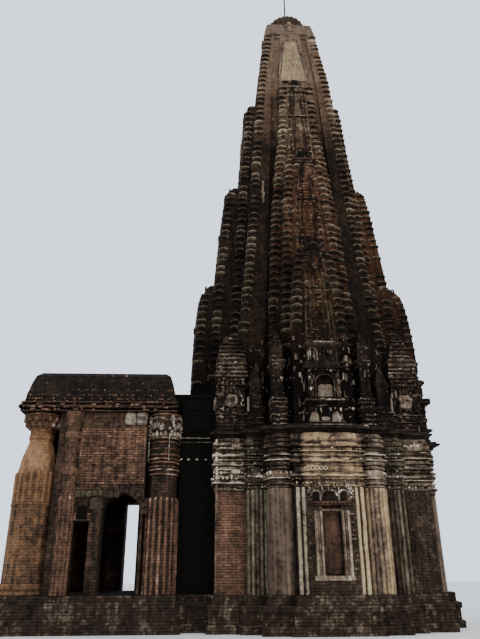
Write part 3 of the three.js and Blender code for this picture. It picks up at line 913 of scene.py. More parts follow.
def rib_unit():
    """A corner block 1 m wide and high whose rib wraps its two outer faces and arches up in their middle"""
    unit = Stone()
    # Tones: a painted highlight along each rib's upper edge, painted shade on its lower part and in the gaps
    # between ribs
    profile = ((0.0, -0.12, 0.0), (0.2, 0.06, 0.0), (0.5, 0.15, 0.35), (0.68, 0.12, 1.0), (0.82, -0.12, 0.2))
    steps = [(0.5, 0.0), (0.15, 1.0), (-0.2, 0.8)]
    rows = []
    for height, out, _ in profile:
        side = 0.5 + out
        lift = 0.2 if out > 0 else 0.1
        row = [Vector((x, -side, height + lift * rise)) for x, rise in steps]
        row.append(Vector((-side * 0.94, -side * 0.94, height)))
        row.extend(Vector((-side, x, height + lift * rise)) for x, rise in reversed(steps))
        row.append(Vector((0.5, 0.5, height)))
        rows.append(row)
    unit.skin(rows, [tone for _, _, tone in profile])
    return unit


def reed_unit(height):
    """A round-topped reed of 1 m radius"""
    unit = Stone()
    rows = []
    tones = []
    levels = [(height - 1.1) * step / 6 for step in range(7)]
    for level, radius in [(level, 1.0) for level in levels] + [(height - 0.4, 0.85), (height, 0.35)]:
        angles = [math.radians(degrees) for degrees in (-90, -50, -18, 18, 50, 90)]
        row = [Vector((radius * math.sin(angle), -radius * math.cos(angle), level)) for angle in angles]
        rows.append(row + [Vector((0, 0.3, level))])
        # Round each reed the front is paler and the flanks darker: painted shade down its sides and in the
        # gaps between reeds
        tones.append([0.1, 0.45, 0.7, 0.7, 0.45, 0.1, 0.0] if radius == 1.0 else 1.1)
    unit.skin(rows, tones)
    return unit


def brick_unit():
    """A brick face 1 m long and high with worn corners"""
    unit = Stone()
    rows = []
    for depth, inset in ((0.3, 0.0), (-0.8, 0.0), (-1.0, 0.05)):
        left, right, foot, head = -0.5 + inset, 0.5 - inset, inset, 1.0 - inset
        corners = ((left, foot), (right, foot), (right, head), (left, head))
        rows.append([Vector((x, depth, z)) for x, z in corners])
    # The face is paler than the flanks, which darken towards the wall: painted shade round each block
    unit.skin(rows, [0.2, 0.5, 0.7])
    return unit


def leaf_unit():
    """A pointed leaf 1 m wide and high that bulges towards -Y, its point up"""
    unit = Stone()
    levels = ((0.0, 0.34, 0.1), (0.25, 0.5, 0.34), (0.55, 0.42, 0.42), (0.82, 0.2, 0.34), (1.0, 0.02, 0.16))
    rows = []
    for level, half, out in levels:
        places = (
            (-half, 0.05), (-half * 0.75, -out * 0.6), (0, -out), (half * 0.75, -out * 0.6), (half, 0.05),
        )
        rows.append([Vector((x, y, level)) for x, y in places])
    # Rim and foot darker than the swelling middle: painted shade where the leaf meets the wall
    tones = [[0.1, 0.4, 0.6, 0.4, 0.1], [0.1, 0.7, 0.9, 0.7, 0.1], [0.2, 0.9, 1.0, 0.9, 0.2], 1.0, 1.0]
    unit.skin(rows, tones)
    return unit


# Runs along the walls

def flipped(run):
    return [(-u, v) for u, v in reversed(run)]


def plan_runs():
    """Runs of plan places on one side, for each kind of wall"""
    inner = PILASTER_U - PILASTER_R
    half_bay = [(-inner, PILASTER_V), (-inner, FLUTE_FACE), (-BAY_HALF, FLUTE_FACE), (-BAY_HALF, BAY_FACE)]
    strip = [
        (-PIER_INNER, PIER_FACE), (-PIER_INNER, STRIP_FACE), (-STRIP_INNER, STRIP_FACE),
        (-STRIP_INNER, PILASTER_V),
    ]
    arc = []
    for step in range(11):
        angle = math.pi * (1 - step / 10)
        arc.append((-PILASTER_U + PILASTER_R * math.cos(angle), PILASTER_V + PILASTER_R * math.sin(angle)))
    bay = half_bay + flipped(half_bay)
    return {"strip": [strip, flipped(strip)], "pilaster": [arc, flipped(arc)], "bay": [bay]}


def wall_runs(kind, step):
    """Plan paths of one kind of wall all round the sanctum, with points no further apart than the step"""
    if "pier" not in kind:
        return [plan_path(quarter, run, step) for quarter in range(3) for run in plan_runs()[kind]]
    paths = []
    for corner in [1] if kind == "east_pier" else [0, 2, 3]:
        # On the west side a corner's wall ends at the passage
        far = PASSAGE_FACE if corner == 0 else PIER_INNER
        near = PASSAGE_FACE if corner == 3 else PIER_INNER
        run = [(-PIER_FACE, far), (-PIER_FACE, PIER_FACE), (-near, PIER_FACE)]
        paths.append(plan_path(corner, run, step))
    return paths


def set_out(kind, gap, z, out):
    """Places at even distances along one kind of wall, with the bearing of the wall there"""
    found = []
    for path in wall_runs(kind, gap):
        for (x0, y0), (x1, y1) in zip(path, path[1:]):
            length = math.hypot(x1 - x0, y1 - y0)
            if length > gap * 0.6:
                outwards = Vector((y1 - y0, x0 - x1, 0)) / length
                middle = Vector(((x0 + x1) / 2, (y0 + y1) / 2, z))
                found.append((middle + outwards * out, math.atan2(y1 - y0, x1 - x0)))
    return found


def arch_line(quarter, u, half, v, foot, spring, tone, rise):
    """Line of a doorway's frame: up one side, round the head and down the other"""
    places = [(u - half, foot), (u - half, spring)]
    for step in range(1, 8):
        angle = math.pi * (1 - step / 8)
        places.append((u + half * math.cos(angle), spring + half * rise * math.sin(angle)))
    places += [(u + half, spring), (u + half, foot)]
    return [(turned(quarter, x, v, z), tone * (0.8 + 0.4 * ripple((x, z, quarter), 0.2))) for x, z in places]


def bond(u0, u1, z0, z1):
    """Foot, left end and right end of each brick of a wall in running bond"""
    length, course = sizes().brick_length, sizes().brick_course
    for row in range(int((z1 - z0) / course)):
        start = u0 - (length / 2 if row % 2 else 0.0)
        while start < u1:
            yield z0 + row * course, max(start, u0), min(start + length, u1)
            start += length


# Operators

class TempleStep(bpy.types.Operator):
    """One step of dressing the temple"""
    bl_idname = "temple.step"
    bl_label = "Temple step"
    bl_options = {"REGISTER", "UNDO"}

    def execute(self, context):
        noise.seed_set(WOBBLE_SEED)
        self.dress()
        return {"FINISHED"}

    def dress(self):
        raise RuntimeError("A temple step has to say what it makes")


class TEMPLE_OT_masonry(TempleStep):
    """Give every masonry node its weathered finish"""
    bl_idname = "temple.masonry"
    bl_label = "Masonry finishes"

    FINISH_OF_NODE = {
        "main_spire": "spire", **{tier + "_half_spire_west": "tier_west" for tier in TIERS},
        **{tier + "_half_spire": "tier" for tier in TIERS}, "corner_turret": "turret", "balcony": "turret",
        "neck_band": "crown", "cap_dome": "spire", "finial_rod": "iron", "main_cornice": "cornice",
        "sanctum_plinth": "plinth", "corner_pier": "wall", **{side + "_wall": "wall" for side in SIDES},
        "passage": "dark", "hall_plinth": "plinth", "entrance_steps": "plinth", "hall_pier_sw": "west_pier",
        "hall_pier_nw": "west_pier", "hall_pier": "hall", "hall_wall": "hall", "hall_cornice": "dark",
        "hall_roof": "hall_roof",
    }

    def dress(self):
        for name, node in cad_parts.items():
            finish = next(value for key, value in self.FINISH_OF_NODE.items() if name.startswith(key))
            for slot in node.material_slots:
                slot.material = finish_of(finish)


class TEMPLE_OT_spire_ribs(TempleStep):
    """Stack ribbed corner blocks up the spire and its half-spires"""
    bl_idname = "temple.spire_ribs"
    bl_label = "Spire ribs"

    # Under this height the ribs have mostly fallen off
    FADE = 8.6
    LAST = 6.6

    def column(self, dice, corner, top, foot, share=1.0):
        """Spots of one column; corner gives the outer corner of the plan at a height and its quarter turn"""
        pitch = sizes().rib_pitch
        width = sizes().rib_width * share
        spots = []
        for step in range(int((top - foot) / pitch)):
            z = top - (step + 1) * pitch
            found = corner(z + pitch * 0.5)
            gone = 0.05 + 0.95 * max(0.0, min((self.FADE - z) / (self.FADE - self.LAST), 1.0))
            if found is None or dice.random() < gone:
                continue
            place, quarter = found
            centre = Vector((place.x, place.y, z)) - turned(quarter, -width / 2, width / 2, 0)
            shade = 0.4 + 0.9 * ripple(centre, 1.1, quarter) + dice.uniform(-0.35, 0.35)
            swell = dice.uniform(0.92, 1.1)
            size = (width * swell, width * swell, pitch * dice.uniform(0.8, 1.05))
            spots.append((centre, bearing(quarter), size, shade))
        return spots

    def main_corner(self, quarter, z):
        half = breadth("main_spire", quarter, 0.0, z) / 1.02
        return turned(quarter, -half, half, z), quarter

    def tier_corner(self, name, quarter, hand, share, setback, z):
        front = reach(name, quarter, 0.0, z)
        half = None if front is None else breadth(name, quarter, front - INSIDE, z)
        if half is None:
            return None
        return turned(quarter, hand * half * share, front - setback, z), quarter + (hand > 0)

    def dress(self):
        dice = random.Random(3)
        spots = []
        for quarter in range(4):
            spots += self.column(dice, lambda z: self.main_corner(quarter, z), SPIRE_TOP, CORNICE_TOP)
        stand("main_spire_ribs", rib_unit(), spots, "rib", wear=sizes().wear, wear_scale=5.0)
        for tier in TIERS:
            spots = []
            for quarter, side in enumerate(SIDES):
                name = tier + "_half_spire_" + side
                low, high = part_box(name)
                for hand in (-1, 1):
                    for share, setback, slim in ((1.0, 0.08, 1.0), (0.52, 0.02, 0.5)):
                        spots += self.column(
                            dice, lambda z: self.tier_corner(name, quarter, hand, share, setback, z),
                            high.z - 0.5, low.z, slim)
            stand(tier + "_half_spire_ribs", rib_unit(), spots, "rib", wear=sizes().wear, wear_scale=5.0)


class TEMPLE_OT_spire_fillets(TempleStep):
    """Run upright fillets up the middle bands, with worn dashes of ornament between them"""
    bl_idname = "temple.spire_fillets"
    bl_label = "Fillets and dashes"

    # Share of the half-width and tone of each fillet, and how far the fan closes in under each hood
    SHARES = [(-0.5, 0.9), (-0.41, 0.2), (-0.33, 0.7), (-0.25, 0.1), (-0.17, 0.6), (0.19, 0.7), (0.27, 0.2),
              (0.35, 0.8), (0.43, 0.1), (0.51, 0.9)]
    FAN = {"upper": 0.1, "middle": 0.65, "lower": 0.3}
    FAN_HEIGHT = 2.4

    def dress(self):
        dice = random.Random(5)
        lines = []
        spots = []
        for quarter, tier, name in half_spires():
            low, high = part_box(name)
            top = high.z - 0.42
            for share, tone in self.SHARES:
                line = []
                z = top
                while z > low.z + 0.05:
                    closed = self.FAN[tier] * max(0.0, 1 - (top - z) / self.FAN_HEIGHT)
                    place = self.place(name, quarter, share * (1 - closed), z)
                    place += turned(quarter, dice.uniform(-0.012, 0.012), 0, 0)
                    shade = tone * 0.7 + 0.9 * ripple(place, 0.5, share) + dice.uniform(-0.15, 0.15)
                    line.append((place, max(shade, 0.1)))
                    z -= 0.22
                lines.append(line)
            z = low.z + 0.1
            while z < top - 0.2:
                for share in (-0.46, -0.29, -0.08, 0.0, 0.1, 0.3, 0.47):
                    if dice.random() < 0.35 + 0.8 * ripple((share, z, quarter), 0.9, 2.0):
                        place = self.place(name, quarter, share + dice.uniform(-0.03, 0.03), z)
                        size = (dice.uniform(0.05, 0.13), dice.uniform(0.02, 0.04), dice.uniform(0.03, 0.1))
                        shade = 0.15 + 0.8 * ripple(place, 0.6, 4.0) + dice.uniform(-0.2, 0.3)
                        spots.append((place, bearing(quarter), size, shade))
                z += dice.uniform(0.09, 0.16)
        fillets("middle_band_fillets", lines, "band", sizes().fillet, wear=0.018)
        stand("middle_band_dashes", brick_unit(), spots, "band", wear=0.03, wear_scale=6.0)

    def place(self, name, quarter, share, z):
        front = reach(name, quarter, 0.0, z)
        half = breadth(name, quarter, front - INSIDE, z)
        return turned(quarter, share * half, front - (0.012 if abs(share) > 0.4 else 0.0), z)


class TEMPLE_OT_spire_scars(TempleStep):
    """Leave flakes of lime and patches of soot on the spire's faces"""
    bl_idname = "temple.spire_scars"
    bl_label = "Spire scars"

    # Places with soot over the hoods, heights between which a pale patch is left, and the flakes' range
    SOOT = (20.02, 15.82, 11.47)
    PATCH = (16.8, 17.5)
    TOP = 19.6
    RANGE = 13.2

    def dress(self):
        dice = random.Random(8)
        lime = Stone()
        soot = Stone()
        for quarter in range(4):
            for height in self.SOOT:
                for step in range(3):
                    flake(soot, quarter, -0.3 + 0.3 * step, height, 0.24, 0.24, 0.2)
            for _ in range(5):
                flake(lime, quarter, dice.uniform(-0.3, 0.15), dice.uniform(*self.PATCH), 0.16, 0.17, 0.9)
            for step in range(9):
                flake(lime, quarter, -1.38 + dice.uniform(-0.03, 0.03), 13.8 + 0.11 * step, 0.05, 0.1, 1.3)
            for _ in range(260):
                z = self.TOP - self.RANGE * dice.random() ** 0.8
                half = 2.3 - 0.075 * z
                size = dice.uniform(0.025, 0.07)
                rise = size * dice.choice((0.6, 1.0, 2.2))
                flake(lime, quarter, dice.uniform(-half, half), z, size, rise, dice.uniform(0.3, 1.2))
        lime.build("spire_lime_flakes", "rib")
        soot.build("spire_soot_patches", "dark")


class TEMPLE_OT_spire_crown(TempleStep):
    """Panel, neck ornament and ribbed cap at the top of the spire"""
    bl_idname = "temple.spire_crown"
    bl_label = "Spire crown"

    PANEL_FOOT = 19.95
    PANEL_HEAD = 22.4
    # Height, half-width, projection and tone of the lines and blocks on the neck
    NECK_LINES = [(22.84, 1.05, 0.02, 0.4), (23.02, 1.04, 0.012, 0.1), (22.76, 1.05, 0.02, 0.0)]
    NECK_BLOCKS = [
        (22.45, 0.14, 0.06, 0.2), (22.6, 0.1, 0.08, 0.8), (22.8, 0.16, 0.09, 0.1), (22.95, 0.09, 0.07, 1.1),
        (23.12, 0.15, 0.09, 0.2), (23.28, 0.1, 0.08, 1.0), (23.42, 0.17, 0.09, 0.1), (23.56, 0.08, 0.08, 1.2),
    ]

    def band(self, stone, quarter, edges, out, tone):
        """A thin sheet up one face; edges gives its left and right end at a share of the height"""
        steps = 8
        rows = []
        for step in range(steps + 1):
            share = step / steps
            z = self.PANEL_FOOT + (self.PANEL_HEAD - self.PANEL_FOOT) * share
            left, right = edges(share)
            front = reach("main_spire", quarter, (left + right) / 2, z)
            ragged = 0.02 * ripple((share, left, quarter), 0.12)
            rows.append(at_height(quarter, z, (
                (left, front - 0.03), (left + 0.02 + ragged, front + out),
                (right - 0.02 + ragged, front + out), (right, front - 0.03),
            )))
        stone.skin(rows, [tone] * len(rows))

    def dress(self):
        panel = Stone()
        strips = Stone()
        neck = Stone()
        dots = []
        for quarter in range(4):
            self.band(panel, quarter, lambda share: (-0.54 + 0.27 * share, 0.54 - 0.27 * share), 0.035, 0.5)
            for hand in (-1, 1):
                def strip(share):
                    return sorted((hand * (0.6 - 0.15 * share), hand * (0.86 - 0.18 * share)))
                self.band(strips, quarter, strip, 0.006, 0.0)
            face = surface(quarter, 0.0, 23.2)
            for z, half, out, tone in self.NECK_LINES:
                path = fronted(quarter, half, face - 0.015, face - 0.06, 0.12)
                neck.sweep(path, bead(z, 0.05, out, tone), wear=0.2, seed=z + quarter)
            for z, half, out, tone in self.NECK_BLOCKS:
                neck.slab(quarter, -half, half, face - 0.12, face + out - 0.05, z, z + 0.13, tone, 0.02)
            for step in range(26):
                z = 19.9 + 0.105 * step
                for hand in (-1, 1):
                    u = hand * (0.6 - 0.11 * (z - 19.95))
                    place = turned(quarter, u, reach("main_spire", quarter, u, z), z)
                    shade = 0.3 + 0.6 * ripple(place, 0.3)
                    dots.append((place, bearing(quarter), (0.05, 0.03, 0.06), shade))
        panel.wobble(0.012, 0.3)
        panel.build("cream_panels", "cream_panel")
        strips.build("crown_strips", "spire")
        neck.wobble(0.012, 0.15)
        neck.build("neck_ornament", "crown")
        stand("crown_beads", brick_unit(), dots, "spot", wear=0.02)
        cap = Stone()
        profile = [
            (0.84, NECK_TOP - 0.01), (0.88, 23.65), (0.95, 23.82), (0.94, 24.1), (0.85, 24.38), (0.67, 24.6),
            (0.42, 24.8), (0.2, 24.94),
        ]
        cap.lathe((0, 0), [(radius - 0.005, z, 0.35) for radius, z in profile], 96, lobes=24, depth=0.1)
        cap.wobble(0.02, 0.3)
        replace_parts(cap.build("ribbed_cap", "moss"), "cap_dome")


class TEMPLE_OT_wall_mouldings(TempleStep):
    """Run the mouldings round the sanctum and set dentils, brick ends and a lotus row on them"""
    bl_idname = "temple.wall_mouldings"
    bl_label = "Wall mouldings"

    FOOT = 3.52
    # Height, thickness, projection and tone of each moulding, from below, for each kind of wall
    LINES = {
        "pier": [
            (3.61, 0.06, 0.02, 0.3), (3.7, 0.04, 0.06, 1.5), (3.95, 0.03, 0.04, 0.5), (4.07, 0.04, 0.05, 1.2),
            (4.19, 0.04, 0.05, 1.3), (4.33, 0.045, 0.06, 1.4), (4.46, 0.1, 0.1, 1.7), (4.62, 0.05, 0.03, 0.4),
            (4.74, 0.04, 0.03, 0.7), (4.88, 0.08, 0.04, 0.3),
        ],
        "east_pier": [
            (3.62, 0.05, 0.03, 0.3), (3.77, 0.035, 0.06, 1.3), (3.86, 0.06, 0.04, 0.9),
            (4.0, 0.05, 0.02, 0.3), (4.12, 0.07, 0.06, 1.0), (4.24, 0.03, 0.02, 0.4),
            (4.39, 0.035, 0.09, 1.3), (4.5, 0.04, 0.02, 0.5), (4.62, 0.05, 0.03, 0.7),
            (4.84, 0.12, 0.03, 0.5),
        ],
        "strip": [
            (3.66, 0.06, 0.02, 0.2), (4.05, 0.03, 0.03, 0.6), (4.16, 0.035, 0.05, 0.8),
            (4.29, 0.04, 0.04, 0.8), (4.37, 0.03, 0.02, 0.6), (4.46, 0.04, 0.05, 0.7),
            (4.58, 0.035, 0.03, 0.6), (4.72, 0.05, 0.02, 0.2), (4.86, 0.05, 0.03, 0.4),
        ],
        "pilaster": [
            (3.62, 0.08, 0.03, 0.6), (3.74, 0.035, 0.05, 1.4), (4.02, 0.06, 0.03, 0.5),
            (4.11, 0.03, 0.03, 0.7), (4.22, 0.04, 0.06, 1.7), (4.37, 0.045, 0.09, 1.8),
            (4.5, 0.04, 0.03, 0.3), (4.6, 0.05, 0.03, 0.6), (4.74, 0.05, 0.02, 0.4), (4.86, 0.07, 0.04, 0.5),
        ],
        "bay": [
            (3.65, 0.1, 0.0, -0.2), (3.785, 0.06, 0.07, 1.5), (3.895, 0.02, 0.02, 0.6),
            (4.065, 0.02, 0.02, 0.6), (4.17, 0.075, 0.05, 1.2), (4.305, 0.04, 0.03, 0.8),
            (4.43, 0.035, 0.09, 1.5), (4.575, 0.05, 0.04, 1.0), (4.8, 0.2, 0.02, 0.75),
        ],
    }
    FINISH = {
        "pier": "moulding", "east_pier": "moulding", "strip": "strip", "pilaster": "moulding", "bay": "bay",
    }
    PLAIN = {"pier": 1.0, "east_pier": 0.8, "strip": 0.25, "pilaster": 0.55, "bay": 0.85}
    # Rows of broken blocks: height, thickness, projection, chance, lowest and highest tone
    ROWS = {
        "pier": [
            (4.67, 0.05, 0.04, 0.6, 0.2, 1.1), (4.26, 0.03, 0.03, 0.5, -0.2, 0.8),
            (4.0, 0.05, 0.04, 0.8, -0.1, 1.4), (3.9, 0.04, 0.04, 0.6, -0.2, 1.2),
            (3.56, 0.04, 0.02, 0.6, -0.4, 0.5),
        ],
        "east_pier": [
            (4.76, 0.07, 0.05, 0.7, -0.3, 0.9), (4.56, 0.05, 0.04, 0.6, -0.3, 0.9),
            (4.3, 0.03, 0.03, 0.5, -0.4, 0.6), (3.58, 0.05, 0.03, 0.8, -0.2, 1.0),
        ],
        "strip": [(3.56 + 0.09 * row, 0.05, 0.035, 0.8, -0.6, 0.9) for row in range(15)],
        "bay": [
            (4.24, 0.03, 0.04, 0.5, -0.6, 0.9), (4.5, 0.04, 0.05, 0.5, -0.6, 0.6),
            (4.36, 0.025, 0.03, 0.5, -0.6, 0.9), (3.71, 0.03, 0.03, 0.7, -0.6, 0.5),
            (3.6, 0.05, 0.02, 0.8, -0.8, 0.4),
        ],
    }

    def dress(self):
        dice = random.Random(17)
        for kind, lines in self.LINES.items():
            stone = Stone()
            for index, path in enumerate(wall_runs(kind, 0.07)):
                profile = moulded(self.FOOT, WALL_TOP - 0.01, lines, self.PLAIN[kind])
                stone.sweep(path, profile, seed=index * 1.7)
            self.shift(kind, stone)
            stone.wobble(0.015, 0.16)
            stone.build(kind + "_mouldings", self.FINISH[kind])
        for kind, rows in self.ROWS.items():
            blocks = []
            for z, height, out, chance, low, high in rows:
                for place, angle in set_out(kind, 0.1, z, out):
                    if dice.random() < chance:
                        size = (dice.uniform(0.03, 0.095), 0.04, height * dice.uniform(0.6, 1.1))
                        lifted = place + Vector((0, 0, dice.uniform(-0.015, 0.015) - height / 2))
                        blocks.append((lifted, angle, size, dice.uniform(low, high)))
            if kind == "pier":
                for place, angle in set_out(kind, sizes().dentil_gap, 3.8, 0.05):
                    if dice.random() < 0.92:
                        size = (dice.uniform(0.045, 0.09), 0.09, dice.uniform(0.04, 0.085))
                        blocks.append((place, angle, size, dice.uniform(0.2, 1.2)))
            if kind == "strip":
                for place, angle in set_out(kind, 0.13, 3.82, 0.06):
                    blocks.append((place, angle, (0.085, 0.05, 0.06), dice.uniform(0.5, 1.3)))
            stand(kind + "_blocks", brick_unit(), blocks, self.FINISH[kind], wear=0.04, wear_scale=7.0)
        self.lotus(dice)

    # How much paler the right of each side is painted, by kind of wall: partly the render's own colour and
    # partly painted light from the right
    PALER_RIGHT = {"pilaster": 0.36, "strip": 0.5}

    def shift(self, kind, stone):
        """Lightens what stands right of the middle of a side, and darkens both ends of a bay"""
        for index, point in enumerate(stone.points):
            u = along(point)
            # The right of each side is painted paler: partly painted light from the right
            if u > 0:
                stone.tones[index] += self.PALER_RIGHT.get(kind, 0.0)
            if kind == "bay":
                worn_off = (-u - 0.66) * 12 if u < 0 else (u - 0.8) * 6
                stone.tones[index] -= min(max(worn_off, 0.0), 1.0)

    def lotus(self, dice):
        """Blobs of a lotus row round each pilaster"""
        blobs = []
        for quarter in range(3):
            for hand in (-1, 1):
                for degrees in (-72, -48, -24, 0, 24, 48, 72):
                    angle = math.radians(degrees + dice.uniform(-4, 4))
                    out = PILASTER_R + 0.01
                    u = hand * PILASTER_U + out * math.sin(angle)
                    centre = turned(quarter, u, PILASTER_V + out * math.cos(angle), 3.84)
                    size = (dice.uniform(0.08, 0.12), 0.16, dice.uniform(0.08, 0.13))
                    tone = dice.uniform(0.1, 1.0) if hand < 0 else dice.uniform(0.0, 0.6)
                    blobs.append((centre, bearing(quarter) + angle, size, tone))
        stand("pilaster_lotus", leaf_unit(), blobs, "moulding", wear=0.04, wear_scale=6.0)


class TEMPLE_OT_wall_flutes(TempleStep):
    """Stand reeds on the strips, pilasters, flute bays and the south-east pier"""
    bl_idname = "temple.wall_flutes"
    bl_label = "Wall flutes"

    def dress(self):
        height = (FLUTE_TOP - FLOOR) / sizes().reed_radius
        finish = {
            "pale_reeds": "flute", "warm_reeds": "bay", "shaft_reeds": "shaft", "strip_reeds": "strip",
            "pier_reeds": "wall",
        }
        rows = {name: [] for name in finish}
        for quarter in range(3):
            for hand in (-1, 1):
                for step in range(5):
                    u = hand * (STRIP_INNER + 0.04 + step * 0.118)
                    rows["strip_reeds"].append(self.spot(quarter, u, STRIP_FACE, 0.0, 1.15, 0.1))
                edge = rows["pale_reeds" if hand < 0 else "warm_reeds"]
                shade = 0.35 if hand < 0 else 0.4
                for u in (0.7, 0.85):
                    edge.append(self.spot(quarter, hand * u, FLUTE_FACE, 0.0, 1.35, shade))
                shaft = rows["shaft_reeds" if hand < 0 else "warm_reeds"]
                for step in range(9):
                    angle = math.radians(-80 + 20 * step)
                    u = hand * PILASTER_U + PILASTER_R * math.sin(angle)
                    v = PILASTER_V + PILASTER_R * math.cos(angle)
                    width = 1.9 if hand < 0 else 1.5
                    shaft.append(self.spot(quarter, u, v - 0.014, -angle, width, 0.1 if hand < 0 else 0.0))
        for quarter, hand in ((0, 1), (1, -1)):
            for step in range(8):
                u = hand * (PIER_INNER + 0.05 + step * 0.107)
                rows["pier_reeds"].append(self.spot(quarter, u, PIER_FACE - 0.014, 0.0, 1.15, 0.1))
        for name, spots in rows.items():
            stand(name, reed_unit(height), spots, finish[name], wear=0.045, jitter=0.0)

    def spot(self, quarter, u, v, angle, width, shade):
        radius = sizes().reed_radius
        place = turned(quarter, u, v - 0.01, FLOOR)
        turn = bearing(quarter) - angle
        return (place, turn, (radius * width, radius, radius), shade + 0.8 * ripple(place, 0.17, 6.0))


class TEMPLE_OT_brick_courses(TempleStep):
    """Lay courses of brick on the plain piers, with pale render left at their edge"""
    bl_idname = "temple.brick_courses"
    bl_label = "Brick courses"

    def dress(self):
        spots = []
        for quarter, hand in ((0, -1), (1, 1), (2, -1), (2, 1)):
            u0, u1 = sorted((hand * PIER_INNER, hand * PIER_FACE))
            spots += self.wall(quarter, u0, u1)
        for u0, u1 in ((PASSAGE_FACE, PIER_FACE), (-PIER_FACE, -PASSAGE_FACE)):
            spots += self.wall(3, u0, u1)
        stand("pier_bricks", brick_unit(), spots, "brick", wear=0.01, jitter=0.0)
        edge = Stone()
        for step in range(40):
            z = FLOOR + 0.1 * step
            tone = 1.5 if z > 3.7 else 0.5
            width = 0.04 + 0.035 * ripple((0, 0, z), 0.13)
            edge.slab(0, -3.02, -3.0 + width, 2.9, 3.05 + 0.4 * width, z, z + 0.115, tone, 0.012)
        for z0, z1, tone in ((4.8, 4.94, 0.7), (4.67, 4.79, 0.8), (3.96, 4.06, 1.2)):
            edge.slab(0, -2.57, -2.33, 2.95, 3.115, z0, z1, tone, 0.015)
        edge.wobble(0.02, 0.1)
        edge.build("pier_render", "moulding")

    def wall(self, quarter, u0, u1):
        """Bricks over one stretch of a pier"""
        course = sizes().brick_course
        spots = []
        for z, left, right in bond(u0, u1, FLOOR, FLUTE_TOP):
            if right - left >= 0.05:
                place = turned(quarter, (left + right) / 2, PIER_FACE + 0.002, z)
                shade = 0.4 + 0.7 * ripple(place, 0.09) + 0.6 * ripple(place, 0.8)
                out = 0.014 + 0.01 * ripple(place, 0.11, 7.0)
                spots.append((place, bearing(quarter), (right - left - 0.012, out, course - 0.012), shade))
        return spots


class TEMPLE_OT_tier_tops(TempleStep):
    """Ring the tops of the half-spires and frame their hoods"""
    bl_idname = "temple.tier_tops"
    bl_label = "Tier tops"

    HOOD_RISE = 0.39
    # How far below the flat top each ring lies, for each tier
    RINGS = {"upper": (0.3, 0.55), "middle": (0.2, 0.34), "lower": (0.12, 0.22)}
    LEDGES = {"upper": 17.55, "middle": 13.2, "lower": 9.4}

    def dress(self):
        rings = Stone()
        openings = Stone()
        lines = []
        for quarter, tier, name in half_spires():
            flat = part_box(name)[1].z - self.HOOD_RISE
            for drop in self.RINGS[tier]:
                z = flat - drop
                front = reach(name, quarter, 0.0, z)
                half = breadth(name, quarter, front - INSIDE, z) * 0.62
                path = fronted(quarter, half, front - 0.01, front - 0.1, 0.1)
                rings.sweep(path, bead(z, 0.06, 0.05, 0.7), seed=z)
            ledge = self.LEDGES[tier]
            front = reach(name, quarter, 0.0, ledge)
            path = fronted(quarter, 0.29, front, front - 0.1, 0.08)
            rings.sweep(path, bead(ledge, 0.07, 0.07, 1.5 if tier == "upper" else 0.8), seed=ledge)
            hood = reach(name, quarter, 0.0, flat + 0.1)
            # A flat panel under each hood, painted dark: painted shade of the hood's opening
            openings.panel(quarter, 0.0, 0.2, hood - 0.05, hood + 0.012, flat + 0.02, flat + 0.3, 0.1, 1.0)
            lines.append(arch_line(quarter, 0.0, 0.25, hood, flat + 0.02, flat + 0.14, 0.7, 0.8))
        rings.wobble(0.015, 0.2)
        rings.build("tier_rings", "rib")
        openings.build("tier_hood_niches", "dark")
        fillets("tier_hood_frames", lines, "rib", 0.03, wear=0.03)


